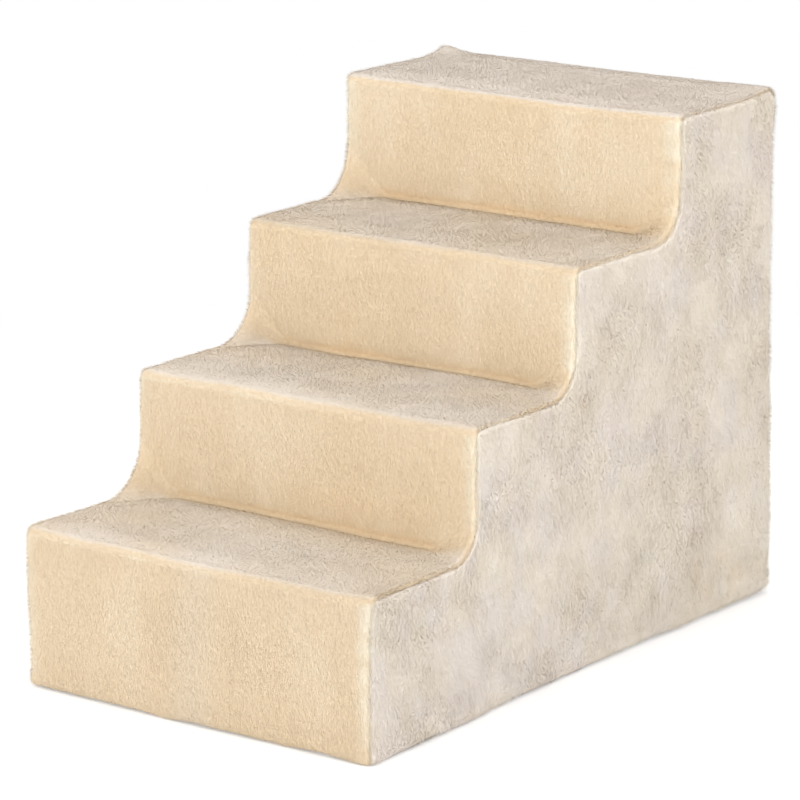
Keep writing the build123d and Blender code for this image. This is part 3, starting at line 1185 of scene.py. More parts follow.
@dataclass(frozen=True)
class PileLook:
    """How the pile of a region grows.

    Attributes:
        inputs: What the pile's tree is fed, with _ for a space.
        skin_share: How much the hairs are lit as their skin is.
        sunk: How far the cloth lies below the CAD's face.
    """

    inputs: dict[str, float]
    skin_share: float
    sunk: float


STEP_PILE = PileLook(
    dict(
        Width=0.5 * MM,
        Length=3.8 * MM,
        Lift=0.5,
        Stray=0.6,
        Stray_Per_Metre=24.0,
        Lock_Size=6.0 * MM,
        Lock_Pull=0.25,
    ),
    skin_share=0.9,
    sunk=1.6 * MM,
)
SIDE_PILE = PileLook(
    dict(
        Width=0.6 * MM,
        Length=4.0 * MM,
        Lift=0.8,
        Stray=1.8,
        Stray_Per_Metre=60.0,
        Lock_Size=8.0 * MM,
        Lock_Pull=0.45,
    ),
    skin_share=0.8,
    sunk=2.2 * MM,
)
PILES = {Region.STEPS: STEP_PILE, Region.SIDE: SIDE_PILE, Region.BACK: SIDE_PILE}


@dataclass
class Cover:
    """The plush slip cover: cloth panels and the pile on them."""

    stair: Stair
    hair: Object
    tree: GeometryTree
    slot: ZipSlot = ZipSlot()
    density: float = 900_000.0
    most_crown: float = 2.2 * MM
    backing: float = 4.6 * MM
    seam_sunk: float = 1.9 * MM
    seam_reach: float = 2.2 * MM
    hem_sunk: float = 0.12
    pile_clear: float = 0.1 * MM
    cloth_clear: float = 0.3 * MM
    lowest: float = 0.6 * MM
    step_split: float = 20 * MM
    side_split: float = 60 * MM
    side_area: float = 0.275
    strip_length: float = 1.32

    def strip(self, material: Material) -> Object:
        """The cloth that runs up every riser and over every tread.

        Args:
            material: The cloth's finish.

        Returns:
            The panel.
        """
        s = self.stair
        flat_x = s.half - s.roll_r
        flat = np.linspace(-flat_x, flat_x, round(2 * flat_x / s.grid))
        bends = np.linspace(0, s.seam_turn, 6)[1:]
        turns = np.concatenate((-bends[::-1], np.zeros(len(flat)), bends))
        spots = iter(flat)
        columns = []
        for turn in turns:
            x = float(next(spots)) if turn == 0 else math.copysign(s.half, turn)
            points, out = s.profile(float(s.cove_at(x)))
            if turn == 0:
                columns.append(np.column_stack((np.full(len(points), x), points)))
            else:
                columns.append(s.rolled(points, out, abs(turn), int(math.copysign(1, turn))))
        rows = np.stack(columns, axis=1)
        round_it = np.abs(out[:, 0] * out[:, 1]) > 0.02
        round_it[[0, 1, -2, -1]] = True
        rows = rows + self.swelling(rows, round_it[:, None] | (turns != 0)[None, :])
        hem = s.hemmed(rows[0], np.array([(math.sin(turn), -math.cos(turn), 0.0) for turn in turns]))
        rows = np.concatenate((np.array(hem), rows))
        made = mesh_object("cover_step_strip_plush", rows.reshape(-1, 3), grid_faces(*rows.shape[:2]))
        return self.finish_cloth(made, Region.STEPS, material)

    def swelling(self, rows: Array, held: Array) -> Array:
        """How the tight plush crowns over its padding, by a cloth simulation.

        Args:
            rows: The strip's grid of points.
            held: For each point, whether an edge, nose or crease holds it.

        Returns:
            A small move for each point, from a coarser copy of the grid.
        """
        picks = [np.unique(np.append(np.arange(0, n, 3), n - 1)) for n in rows.shape[:2]]
        coarse = rows[picks[0]][:, picks[1]]
        made = mesh_object("drape", coarse.reshape(-1, 3), grid_faces(*coarse.shape[:2]))
        still = held[picks[0]][:, picks[1]].ravel()
        final = simulated(made, still, quality=6, mass=0.4)
        move = capped(points_of(final).reshape(coarse.shape) - coarse, self.most_crown)
        bpy.data.objects.remove(final)
        for axis, (pick, count) in enumerate(zip(picks, rows.shape[:2])):
            ahead = np.moveaxis(move, axis, 0)
            flat = ahead.reshape(len(pick), -1)
            every = np.stack([np.interp(np.arange(count), pick, line) for line in flat.T], axis=1)
            move = np.moveaxis(every.reshape(count, *ahead.shape[1:]), 0, axis)
        return move

    def side(self, side: Side, material: Material) -> Object:
        """One stepped side panel, from its seam to the flat.

        Args:
            side: Left or right.
            material: The cloth's finish.

        Returns:
            The panel.
        """
        s = self.stair
        points, out = s.profile(float(s.cove_at(side.value * s.half)), end=s.low)
        turns = np.linspace(s.seam_turn, math.pi / 2, 5)
        rings = [s.rolled(points, out, t, side.value) for t in turns]
        count = len(points)
        edge = [(p[1], p[2]) for p in rings[-1]]
        along = np.arange(edge[0][0] + s.grid, edge[-1][0] - s.grid / 2, s.grid)
        bottom = [(y, s.low) for y in along[::-1]]
        loop = edge + bottom
        inner = self.fill(loop)
        outline = list(range(len(loop)))
        flat, _, faces = delaunay_2d_cdt([Vector(p) for p in loop + inner], [], [outline], 1, 1e-6)[:3]
        x = rings[-1][0][0]
        spots = [np.array((x, p[0], p[1])) for p in flat]
        stacked = list(np.concatenate(rings[:-1])) + spots
        base = count * (len(turns) - 1)
        flip = side is Side.LEFT
        quads = grid_faces(len(turns), count, not flip)
        lids = [tuple(base + i for i in (f if not flip else f[::-1])) for f in faces]
        # The hem starts on the lowest point of every ring and runs along the bottom
        start = [k * count for k in range(len(turns) - 1)] + [base]
        finish = [base + count - 1] + [k * count + count - 1 for k in range(len(turns) - 2, -1, -1)]
        foot = start + [base + len(loop) - 1 - i for i in range(len(bottom))] + finish
        levels = [(side.value * math.sin(t), -math.cos(t), 0.0) for t in turns]
        levels += [(float(side.value), 0.0, 0.0)] * len(bottom)
        levels += [(side.value * math.sin(t), math.cos(t), 0.0) for t in turns[::-1]]
        row = np.array([stacked[i] for i in foot])
        hem = s.hemmed(row, np.array(levels))
        net = len(stacked) + np.arange(len(hem) * len(foot)).reshape(len(hem), len(foot))
        net = np.vstack((net, foot)).ravel().tolist()
        stacked += list(np.concatenate(hem))
        quads += [tuple(net[i] for i in face) for face in grid_faces(len(hem) + 1, len(foot), flip)]
        made = mesh_object(f"cover_{side.label}_side_plush", np.array(stacked), quads + lids)
        return self.finish_cloth(made, Region.SIDE, material)

    def fill(self, loop: list[tuple[float, float]]) -> list[tuple[float, float]]:
        """A triangular net of points inside a stepped outline, clear of its edge.

        Args:
            loop: The outline's points in order.

        Returns:
            The net's points.
        """
        s = self.stair
        clear = s.roll_r + 0.6 * s.grid
        border = np.array(loop)
        found = []
        levels = np.arange(s.low + 0.8 * s.grid, s.height - clear, s.grid * 0.87)
        for k, z in enumerate(levels):
            step = next(i for i in range(s.steps) if z < s.tread(i) - clear)
            line = np.arange(s.riser(step) + clear, s.depth / 2 - clear, s.grid)
            for y in line + (k % 2) * s.grid / 2:
                if np.abs(border - (y, z)).sum(axis=1).min() > 0.75 * s.grid:
                    found.append((float(y), float(z)))
        return found

    def back(self, side: Side, material: Material) -> Object:
        """Half of the back, from the fold beside the zip to the side seam.

        Args:
            side: Left or right.
            material: The cloth's finish.

        Returns:
            The panel.
        """
        s, slot = self.stair, self.slot
        low, top = s.low, s.height - s.tail
        heights = np.union1d(np.linspace(low, top, round((top - low) / s.grid)), np.linspace(*slot.fine, 17))
        flat_x = s.half - s.roll_r
        turns = np.linspace(0, s.seam_turn, 6)[1:]
        share = np.linspace(0, 1, round(flat_x / s.grid))
        fold = np.linspace(math.pi / 2, 0, 6, endpoint=False)
        rows = []
        for z in heights:
            open_x, deep = slot.half_at(z), slot.depth_at(z)
            edge = open_x + slot.fold
            curl = [(slot.fold * (1 - math.sin(t)), deep * (1 - math.cos(t))) for t in fold]
            row = [(open_x + x, s.depth / 2 - y, z) for x, y in curl]
            row += [(edge + u * (flat_x - edge), s.depth / 2, z) for u in share]
            row = [(side.value * x, y, z) for x, y, z in row]
            here, out = np.array([(s.depth / 2, z)]), np.array([(1.0, 0.0)])
            rows.append(row + [tuple(s.rolled(here, out, t, side.value)[0]) for t in turns])
        levels = [(0.0, 1.0, 0.0)] * (len(fold) + len(share))
        levels += [(side.value * math.sin(t), math.cos(t), 0.0) for t in turns]
        grid = np.array(rows)
        grid = np.concatenate((np.array(s.hemmed(grid[0], np.array(levels))), grid))
        faces = grid_faces(*grid.shape[:2], side is Side.RIGHT)
        made = mesh_object(f"cover_back_{side.label}_plush", grid.reshape(-1, 3), faces)
        return self.finish_cloth(made, Region.BACK, material)

    def finish_cloth(self, made: Object, region: Region, material: Material) -> Object:
        """Settles a panel's cloth, and stores what its pile reads.

        Args:
            made: The panel.
            region: Which pile it has.
            material: The cloth's finish.

        Returns:
            The panel.
        """
        s = self.stair
        rest = points_of(made)
        move_points(made, s.worn(rest))
        near, seam = self.seam_near(rest)
        normal = normals_of(made) * (1 - near)[:, None] + seam * near[:, None]
        normal /= np.linalg.norm(normal, axis=1, keepdims=True)
        points = points_of(made)
        # Small hills and dips, lower on the treads and none beside the zip
        nap = 0.45 * MM * soft_noise(points, 11 * MM, 51) + 0.3 * MM * soft_noise(points, 5.5 * MM, 52)
        if region is Region.STEPS:
            nap *= 1 - 0.7 * np.clip(normal[:, 2], 0, 1)
        if region is Region.BACK:
            nap *= step_between(np.abs(rest[:, 0]), 13 * MM, 22 * MM)
        # The cloth sinks to make room for the pile, but not where it is folded or sewn
        sunk = np.full(len(points), PILES[region].sunk)
        if region is Region.BACK:
            sunk *= 0.1 + 0.9 * step_between(np.abs(rest[:, 0]), 3 * MM, 16 * MM)
        hem = self.hem_sunk + (1 - self.hem_sunk) * step_between(rest[:, 2], 5 * MM, 18 * MM)
        move = (nap - sunk * hem) * (1 - near) - self.seam_sunk * hem * near
        points = points + normal * move[:, None]
        points[:, 2] = np.maximum(points[:, 2], self.lowest)
        move_points(made, points)
        self.store_nap(made, region, rest, normals_of(made))
        dress(made, material)
        return made

    def seam_near(self, rest: Array) -> tuple[Array, Array]:
        """Looks for the side seams, where two panels have to stay together.

        Args:
            rest: Points on a panel as it is cut.

        Returns:
            How near each lies to a seam, from 0 to 1, and the way out at the
            nearest place of a seam.
        """
        s = self.stair
        spots, ways = [], []
        for side in (-1, 1):
            points, out = s.profile(float(s.cove_at(side * s.half)), end=s.low)
            order = np.arange(len(points))
            fine = np.linspace(0, order[-1], 6 * len(points))
            points, out = (np.stack([np.interp(fine, order, v) for v in a.T], axis=1) for a in (points, out))
            spots.append(s.rolled(points, out, s.seam_turn, side))
            way = np.column_stack((np.full(len(out), side * math.tan(s.seam_turn)), out))
            ways.append(way * math.cos(s.seam_turn))
        tree = KDTree(sum(map(len, spots)))
        for i, spot in enumerate(np.concatenate(spots)):
            tree.insert(spot, i)
        tree.balance()
        found = [tree.find(point)[1:] for point in rest]
        near = bell(np.array([f[1] for f in found]), self.seam_reach)
        return near, np.concatenate(ways)[[f[0] for f in found]]

    def steps_nap(self, rest: Array, normal: Array, edge: Array) -> dict[str, Array]:
        """The pile of the step strip: painted highlights beside the seams and behind two noses, painted shade
        on the treads and in the creases, and worn flat on the treads.

        Args:
            rest: The cloth's vertices as it is cut.
            normal: Their outward normals.
            edge: How near each lies to a seam, from 0 to 1.

        Returns:
            Values for each vertex by attribute.
        """
        s = self.stair
        x, y, z = rest.T
        lay = np.column_stack((np.zeros(len(x)), -normal[:, 2], normal[:, 1]))
        lay[:, 0] = 0.25 * soft_noise(rest, 60 * MM, 61) + 0.9 * edge * np.sign(x)
        up = np.clip(normal[:, 2], 0.0, 1.0)

        # A painted highlight: a pale band on the risers beside the side seams, where the rounded edge catches
        # the light, wider towards the top and strongest on the right
        wide = (20 + 9 * z / s.height) * MM
        band = step_between(np.abs(x), s.half - wide, s.half - 11 * MM)
        band = band * (1 - step_between(up, 0.2, 0.6))
        band = band * np.where(x > 0, 1.0, 0.4) * (0.8 + 0.45 * soft_noise(rest, 13 * MM, 73))

        # Tone: clouds, painted shade that darkens the treads, and a painted highlight along the first two
        # noses
        tone = 0.1 * soft_noise(rest * (1, 1, 0.3), 26 * MM, 62) + 0.1 * soft_noise(rest, 80 * MM, 63)
        tone = 0.52 + tone * (1 - 0.6 * up)
        tone = tone - 0.17 * step_between(up, 0.0, 0.6) + 0.3 * band + 0.16 * (z / s.height) * (1 - up)
        tone = tone + 0.08 * up * step_between(z, s.tread(2) + 30 * MM, s.height)
        # Painted highlight: the pile just behind the first two noses is lighter, where the rounded nose
        # catches the light
        for step in (0, 1):
            behind = y - s.riser(step)
            fade = bell(np.maximum(behind - 14 * MM, 0), 14 * MM) * (behind > 0) * bell(
                z - s.tread(step), 0.02
            )
            tone = tone + 0.22 * fade * (1 - step_between(x, -0.02, 0.12))

        # Warmth: warm on the risers, warmer in the creases as painted shade, cool on the treads as painted
        # shade, and cool on the tail
        above = step_between(z, s.tread(0), s.tread(0) + 30 * MM) * (1 - up)
        warmth = 0.31 + 0.12 * above - 0.1 * band
        warmth = warmth + (0.13 + 0.1 * above) * (1 - 0.6 * up) * soft_noise(rest * (1, 1, 0.45), 70 * MM, 64)
        # Painted shade: the treads, the top one most, turn cool and grey as if lit only by the dim, cool
        # light from above
        flat = step_between(up, 0.45, 0.95)
        warmth = warmth - flat * (0.2 + 0.3 * step_between(z, s.tread(2) + 30 * MM, s.height))
        tail = step_between(y, s.depth / 2 - 30 * MM, s.depth / 2 - 4 * MM)
        tone, warmth = tone - 0.15 * tail, warmth * (1 - tail) + 0.12 * tail
        # Painted shade: a darker, warmer line along the crease at the foot of each riser
        for step in range(1, s.steps):
            off = np.hypot(y - s.riser(step), z - s.tread(step - 1))
            inside = 1 - step_between(np.abs(x), s.half - 50 * MM, s.half - 25 * MM)
            crease = bell(off, 6 * MM) * inside
            tone, warmth = tone - 0.28 * crease, warmth + 0.5 * crease
        length = 1.0 + 0.7 * edge - 0.4 * up * (1 - edge)
        mottle = 0.22 - 0.1 * up
        return {"lay": lay, "tone": tone, "warmth": warmth, "length": length, "mottle": mottle}

    def sides_nap(self, rest: Array, normal: Array, edge: Array) -> dict[str, Array]:
        """The pile of the sides and the back: hanging, clouded, and ruffled along the seams, with a painted
        highlight on the ruffle.

        Args:
            rest: The cloth's vertices as it is cut.
            normal: Their outward normals.
            edge: How near each lies to a seam, from 0 to 1.

        Returns:
            Values for each vertex by attribute.
        """
        x, y, z = rest.T
        lay = np.zeros((len(x), 3))
        lay[:, 2] = -1.0 + 2.4 * edge * (normal[:, 2] > 0.1)
        lay[:, 1] = -0.25 + 0.75 * soft_noise(rest, 70 * MM, 65)
        lay += 1.6 * edge[:, None] * normal * (0, 1, 1)

        # Tone: clouds of three sizes, calmer near the top, with a painted highlight on the ruffled edge along
        # the seams
        level = step_between(normal[:, 2], 0.08, 0.45)
        cloud = 0.06 * soft_noise(rest, 80 * MM, 67) + 0.1 * soft_noise(rest, 32 * MM, 66)
        cloud = cloud + 0.1 * soft_noise(rest * (1, 1, 0.6), 13 * MM, 72)
        calm = 1 - 0.6 * step_between(z, 0.36, 0.50)
        tone = 0.56 + cloud * calm
        tone = tone + edge * (0.12 + 0.2 * soft_noise(rest, 9 * MM, 74) - 0.22 * level)
        warmth = (
            0.2
            + 0.16 * soft_noise(rest, 55 * MM, 68)
            + 0.2 * soft_noise(rest * (1, 1, 0.7), 22 * MM, 69)
        )
        warmth = warmth + 0.22 * step_between(y, 0.0, 0.3) * (1 - step_between(z, 20 * MM, 200 * MM))
        length = 1.1 + 0.3 * soft_noise(rest, 24 * MM, 70) + 0.45 * edge
        mottle = 0.62 * calm
        return {"lay": lay, "tone": tone, "warmth": warmth, "length": length, "mottle": mottle}

    def store_nap(self, made: Object, region: Region, rest: Array, normal: Array) -> None:
        """Stores what the pile reads from each vertex: where it grows, how it lies and its shade.

        Args:
            made: The panel.
            region: Which pile it has.
            rest: Its vertices before the cloth gave.
            normal: Its vertex normals.
        """
        x, _, z = rest.T
        across = np.abs(normal[:, 0])
        edge = (
            step_between(1 - across, 0.0, 0.2)
            if region is Region.SIDE
            else step_between(across, 0.15, 0.6)
        )
        edge = edge * (np.abs(x) > 0.1)
        nap = (self.steps_nap if region is Region.STEPS else self.sides_nap)(rest, normal, edge)
        lift = 1.0 + 1.3 * edge + 0.3 * soft_noise(rest, 18 * MM, 71)
        nap["lift"] = lift - 0.3 * np.clip(normal[:, 2], 0, 1) * (1 - edge)

        # Shorter, darker and at last none towards the floor; the darkening is painted shade by the floor
        over = points_of(made)[:, 2]
        nap["length"] = nap["length"] * (0.4 + 0.6 * step_between(over, 1 * MM, 9 * MM))
        nap["cover"] = np.where(over < 1.1 * MM, 0.0, 1.0)
        nap["tone"] = np.clip(nap["tone"] - 0.35 * bell(np.maximum(over, 0.0), 7 * MM), 0.05, 0.95)
        nap["warmth"] = np.clip(nap["warmth"], 0.0, 1.0)
        if region is Region.BACK:
            # None in the zip's fold, and trimmed beside it
            nap["cover"] = np.where((np.abs(x) < 10.5 * MM) & (z < 0.436), 0.0, nap["cover"])
            trimmed = (1 - step_between(np.abs(x), 11 * MM, 19 * MM)) * (1 - step_between(z, 0.436, 0.45))
            nap["length"] = nap["length"] * (1 - 0.75 * trimmed)
            nap["length"] = nap["length"] * (0.55 + 0.45 * step_between(np.abs(x), 3 * MM, 12 * MM))
        for name, values in nap.items():
            carry(made, name, values)

    def pile(
        self,
        cloth: Object,
        name: str,
        keep: Array,
        region: Region,
        material: Material,
        seed: int,
    ) -> Object:
        """Grows the pile on some faces of a cloth.

        Args:
            cloth: The panel.
            name: The pile's name.
            keep: For each face, whether this pile grows on it.
            region: Where the panel lies.
            material: The hairs' material.
            seed: Of the scatter.

        Returns:
            The pile as a mesh.
        """
        source = put(name + "_source", cloth.data.copy())
        bm = bmesh.new()
        bm.from_mesh(source.data)
        bm.faces.ensure_lookup_table()
        bmesh.ops.delete(bm, geom=[f for f in bm.faces if not keep[f.index]], context="FACES")
        bm.to_mesh(source.data)
        bm.free()
        look = PILES[region]
        made = self.tree.run(
            source, name, Density=self.density, Seed=seed, Hair=self.hair, Material=material, **look.inputs
        )
        clear_of_floor(made, self.pile_clear)
        shade_like_skin(made, look.skin_share)
        return made

    def build(self) -> None:
        s = self.stair
        step_plush = Plush(
            "step_plush",
            shade=(0.65, 0.53, 0.37),
            body=(0.835, 0.695, 0.505),
            glow=(0.92, 0.85, 0.705),
            warm=(0.865, 0.67, 0.425),
            # Mostly painted shade: this cool tint greys the treads as the light from above would
            cool_tint=(1.0, 1.1, 1.36),
            root_share=0.92,
        )
        side_plush = Plush(
            "side_plush",
            shade=(0.64, 0.55, 0.46),
            body=(0.785, 0.71, 0.61),
            glow=(0.91, 0.865, 0.78),
            warm=(0.76, 0.62, 0.43),
            cool_tint=(1.0, 1.0, 1.05),
            root_share=0.9,
        )
        strip = self.strip(step_plush.material(False))
        centre = vectors_of(strip.data.polygons, "center")
        hairs = step_plush.material(True)
        tufts = []
        for step in range(s.steps):
            low = s.riser(step) - self.step_split if step else -math.inf
            high = s.riser(step + 1) - self.step_split if step + 1 < s.steps else math.inf
            keep = (centre[:, 1] > low) & (centre[:, 1] <= high)
            tufts.append(self.pile(strip, f"pile_step_{step + 1}", keep, Region.STEPS, hairs, 101 + step))
        self.declare(strip, tufts, "plush_steps", "cover_step_strip")
        hairs = side_plush.material(True)
        for side in Side:
            panel = self.side(side, side_plush.material(False))
            centre = vectors_of(panel.data.polygons, "center")
            rear = centre[:, 1] > self.side_split
            tufts = [
                self.pile(panel, f"pile_{side.label}_{part}", keep, Region.SIDE, hairs, 201 + i)
                for i, (part, keep) in enumerate((("front", ~rear), ("rear", rear)))
            ]
            node, board = f"cover_{side.label}_side", f"{side.label}_side_panel"
            self.declare(panel, tufts, "plush_sides", node)
        for side in Side:
            panel = self.back(side, side_plush.material(False))
            keep = np.ones(len(panel.data.polygons), bool)
            tufts = [self.pile(panel, f"pile_back_{side.label}", keep, Region.BACK, hairs, 301 + side.value)]
            self.declare(panel, tufts, "plush_back", f"cover_back_{side.label}")

    def declare(
        self,
        cloth: Object,
        tufts: list[Object],
        slot: str,
        node: str,
    ) -> None:
        """Gives a panel its thickness, and sets it and its pile on the stairs in place of the CAD node.

        Args:
            cloth: The panel.
            tufts: The pieces of its pile.
            slot: Passed on to settle, which does not use it.
            node: The CAD node that the panel replaces.
        """
        backing = cloth.modifiers.new("backing", "SOLIDIFY")
        backing.thickness = self.backing
        backing.offset = -1.0
        cloth = applied(cloth)
        clear_of_floor(cloth, self.cloth_clear)
        settle(cloth, slot, node)
        for tuft in tufts:
            settle(tuft, slot)


def hair_shape() -> Object:
    """One hair: a blade, one unit wide at its root and one unit long, that narrows to its tip.

    Returns:
        The blade.
    """
    points = np.array(((-0.5, 0, 0), (0.5, 0, 0), (0.0, 0.1, 1.0)))
    made = mesh_object("hair_shape", points, [(0, 1, 2)])
    carry(made, "tip", points[:, 2])
    carry(made, "across", points[:, 0])
    return made


# Boards, pads and feet


@dataclass
class Carcass:
    """The boards, rails, brads and feet of the CAD, each in a finish of its own."""

    nodes: dict[str, Object]

    def finishes(self) -> list[tuple[tuple[str, ...], Any]]:
        """The finish for each mark in a node's name, of which the first that fits counts.

        Returns:
            The marks with their finishes.
        """
        birch = (0.80, 0.66, 0.46), (0.62, 0.45, 0.27)
        pine = (0.84, 0.70, 0.48), (0.66, 0.45, 0.24)
        wire = Metal("bright_wire", (0.72, 0.70, 0.66), (0.45, 0.40, 0.34), 0.3, (1.0, 1.0, 0.1))
        hardboard = Pressed("hardboard", (0.50, 0.33, 0.19), (0.36, 0.22, 0.12), 1.3 * MM, 0.12 * MM, 0.55)
        rubber = Moulded("foot_rubber", (0.045, 0.045, 0.048), (0.12, 0.12, 0.12), 0.75, 1500.0)
        nylon = Moulded("hook_nylon", (0.78, 0.74, 0.68), (0.66, 0.62, 0.55), 0.5, 900.0)
        nickel = Metal("nickel", (0.50, 0.48, 0.45), (0.34, 0.31, 0.28), 0.3, (1.0, 1.0, 0.2))
        resin = Moulded("zip_resin", (0.80, 0.72, 0.60), (0.70, 0.62, 0.50), 0.42, 1800.0)
        return [
            (("brads",), wire),
            (("back_panel",), hardboard),
            (("left_base_rail", "right_base_rail"), Wood("pine_along", *pine, (1.0, 0.08, 1.0), 40.0, 0.7)),
            (("base_rail",), Wood("pine_across", *pine, (0.08, 1.0, 1.0), 40.0, 0.7)),
            (("side_panel",), Wood("birch_side", *birch, (1.0, 1.0, 0.09), 60.0, 0.55)),
            (("tread_board", "riser_board"), Wood("birch_step", *birch, (0.09, 1.0, 1.0), 60.0, 0.55)),
            (("foot_",), rubber),
            (("hook_tapes",), nylon),
            (("zip_slider", "zip_pull_tab"), nickel),
            (("zip_upper_stop", "zip_lower_stops"), resin),
        ]

    def build(self) -> None:
        """Gives every CAD node that stays its finish."""
        finishes = [(marks, finish.material()) for marks, finish in self.finishes()]
        for name, node in self.nodes.items():
            fitting = [material for marks, material in finishes if any(mark in name for mark in marks)]
            if fitting:
                for slot in node.material_slots:
                    slot.material = fitting[0]
                log.info("%s: %s", name, fitting[0].name)


@dataclass
class Pads:
    """The foam pads on the treads, which swell a little between their glued edges."""

    count: int = 4
    round_r: float = 4.0 * MM
    crown: float = 1.8 * MM
    voxel: float = 5.0 * MM

    def block(self, node: str) -> Object:
        """A block of foam with rounded edges, as large as its CAD node.

        Args:
            node: The CAD node's name.

        Returns:
            The block.
        """
        low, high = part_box(node)
        bm = bmesh.new()
        bmesh.ops.create_cube(bm, size=1.0)
        for vert in bm.verts:
            vert.co = Vector([low[i] if vert.co[i] < 0 else high[i] for i in range(3)])
        top = [e for e in bm.edges if all(v.co.z > low.z + self.round_r for v in e.verts)]
        bmesh.ops.bevel(bm, geom=top, offset=self.round_r, segments=4, profile=0.5, affect="EDGES")
        mesh = bpy.data.meshes.new(node + "_foam")
        bm.to_mesh(mesh)
        bm.free()
        mesh.shade_smooth()
        return put(node + "_foam", mesh)

    def swollen(self, made: Object, node: str) -> Object:
        """The block after a short cloth simulation, held to its board and its box.

        Args:
            made: The block.
            node: The CAD node's name.

        Returns:
            The swollen block.
        """
        low, high = (np.array(v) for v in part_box(node))
        remesh = made.modifiers.new("voxels", "REMESH")
        remesh.mode, remesh.voxel_size = "VOXEL", self.voxel
        made = applied(made)
        made.data.shade_smooth()
        start = points_of(made)
        made = simulated(made, start[:, 2] < low[2] + 2 * MM)
        points = start + capped(points_of(made) - start, self.crown)
        points = np.clip(points, low, high + (0.0, 0.0, self.crown))
        move_points(made, points)
        return made

    def build(self) -> None:
        """Makes the pads."""
        foam = Pressed("foam", (0.94, 0.90, 0.70), (0.82, 0.76, 0.54), 0.9 * MM, 0.3 * MM, 0.85).material()
        for step in range(self.count):
            node = f"tread_pad_{step + 1}"
            made = self.block(node)
            made = self.swollen(made, node)
            dress(made, foam)
            settle(made, "foam", node)


# The zip and hem


@dataclass
class ZipChain:
    """The zip's tapes and its two rows of moulded teeth."""

    rows: GeometryTree
    teeth: int = 84
    pitch: float = 4.5 * MM
    start: float = 42 * MM
    length: float = 382.5 * MM
    cord_x: float = 2.95 * MM
    cord_w: float = 1.3 * MM
    chain_t: float = 2.0 * MM
    middle_y: float = 362.1 * MM

    def tooth(self) -> Object:
        """One waisted tooth with eased faces: X along the row, Z towards the other row.

        Returns:
            The tooth.
        """
        half = ((1.3, -0.3), (1.25, 0.35), (0.78, 0.85), (0.72, 1.35), (0.84, 1.7), (0.6, 2.18))
        outline = np.array(half + tuple((-x, z) for x, z in half[::-1])) * MM
        middle = outline.mean(axis=0)
        rings = []
        for y, share in ((-0.94, 0.82), (-0.68, 1.0), (0.68, 1.0), (0.94, 0.82)):
            ring = middle + (outline - middle) * share
            rings.append([(x, y * MM, z) for x, z in ring])
        return tube("tooth_shape", np.array(rings), flip=True)

    def row(self, side: Side, tooth: Object, material: Material) -> None:
        """One row of teeth along its cord.

        Args:
            side: Left or right.
            tooth: The tooth that is repeated.
            material: Its finish.
        """
        first = self.start + self.pitch * (3 + side.value) / 4
        heights = (first, first + self.pitch * (self.teeth - 1))
        ends = [(side.value * self.cord_x, self.middle_y, z) for z in heights]
        wire = wire_of("teeth_wire", ends, (-side.value, 0.0, 0.0))
        made = self.rows.run(wire, f"zip_row_{side.label}", Count=self.teeth, Shape=tooth, Material=material)
        settle(made, "zip_plastic", f"zip_teeth_{side.label}")

    def cord(self, side: Side, material: Material) -> None:
        """The corded edge that the teeth of one row are moulded on.

        Args:
            side: Left or right.
            material: The cord's finish.
        """
        middle_x = side.value * (self.cord_x + self.cord_w / 2)
        turns = np.linspace(0, 2 * math.pi, 10, endpoint=False)
        rings = []
        for z in np.linspace(self.start, self.start + self.length, 160):
            swell = 1.0 - 0.05 * abs(math.sin(math.pi * z / self.pitch))
            wide, deep = swell * self.cord_w / 2, swell * 0.49 * self.chain_t
            ring = [(wide * math.cos(t), deep * math.sin(t)) for t in turns]
            rings.append([(middle_x + x, self.middle_y + y, z) for x, y in ring])
        made = tube(f"zip_cord_{side.label}", np.array(rings))
        dress(made, material)
        settle(made, "zip_plastic")

    def tape(self, side: Side, material: Material) -> None:
        """One woven tape, flat by the teeth and a little wavy towards its free edge.

        Args:
            side: Left or right.
            material: The tape's finish.
        """
        low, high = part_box(f"zip_tape_{side.label}")
        inner, outer = (low.x, high.x) if side is Side.RIGHT else (high.x, low.x)
        across, along = np.linspace(0, 1, 7), np.linspace(low.z, high.z, 110)
        grid = np.array(
            [[(inner + u * (outer - inner), high.y - 0.05 * MM, z) for u in across] for z in along]
        )
        wave = soft_noise(grid.reshape(-1, 3), 30 * MM, 81).reshape(grid.shape[:2])
        grid[:, :, 1] -= 0.12 * MM * np.abs(wave) * across[None, :]
        faces = grid_faces(*grid.shape[:2], side is Side.RIGHT)
        made = mesh_object(f"zip_tape_{side.label}_cloth", grid.reshape(-1, 3), faces)
        made.modifiers.new("cloth", "SOLIDIFY").thickness = 0.6 * MM
        made = applied(made)
        dress(made, material)
        settle(made, "zip_tape", f"zip_tape_{side.label}")

    def build(self) -> None:
        """Makes both halves of the chain."""
        resin = Moulded("tooth_resin", (0.82, 0.74, 0.62), (0.72, 0.64, 0.52), 0.38, 1800.0).material()
        thread = Woven("cord_thread", (0.80, 0.72, 0.60), (0.55, 0.48, 0.38), 0.7 * MM, 0, 2, 0.4).material()
        weave = Woven("zip_weave", (0.80, 0.73, 0.62), (0.52, 0.46, 0.38), 0.9 * MM, 0, 2, 0.3).material()
        tooth = self.tooth()
        for side in Side:
            self.row(side, tooth, resin)
            self.cord(side, thread)
            self.tape(side, weave)
        bpy.data.objects.remove(tooth)


def wire_of(
    name: str, points: Sequence[Vec3], facing: Vec3
) -> Object:
    """A wire through some points, which carries the way that its copies face.

    Args:
        name: The object's name.
        points: The points in order.
        facing: The way that the copies face.

    Returns:
        The wire.
    """
    mesh = bpy.data.meshes.new(name)
    mesh.from_pydata(list(points), [(i, i + 1) for i in range(len(points) - 1)], [])
    made = put(name, mesh)
    carry(made, "facing", np.tile(np.array(facing, float), (len(points), 1)))
    return made


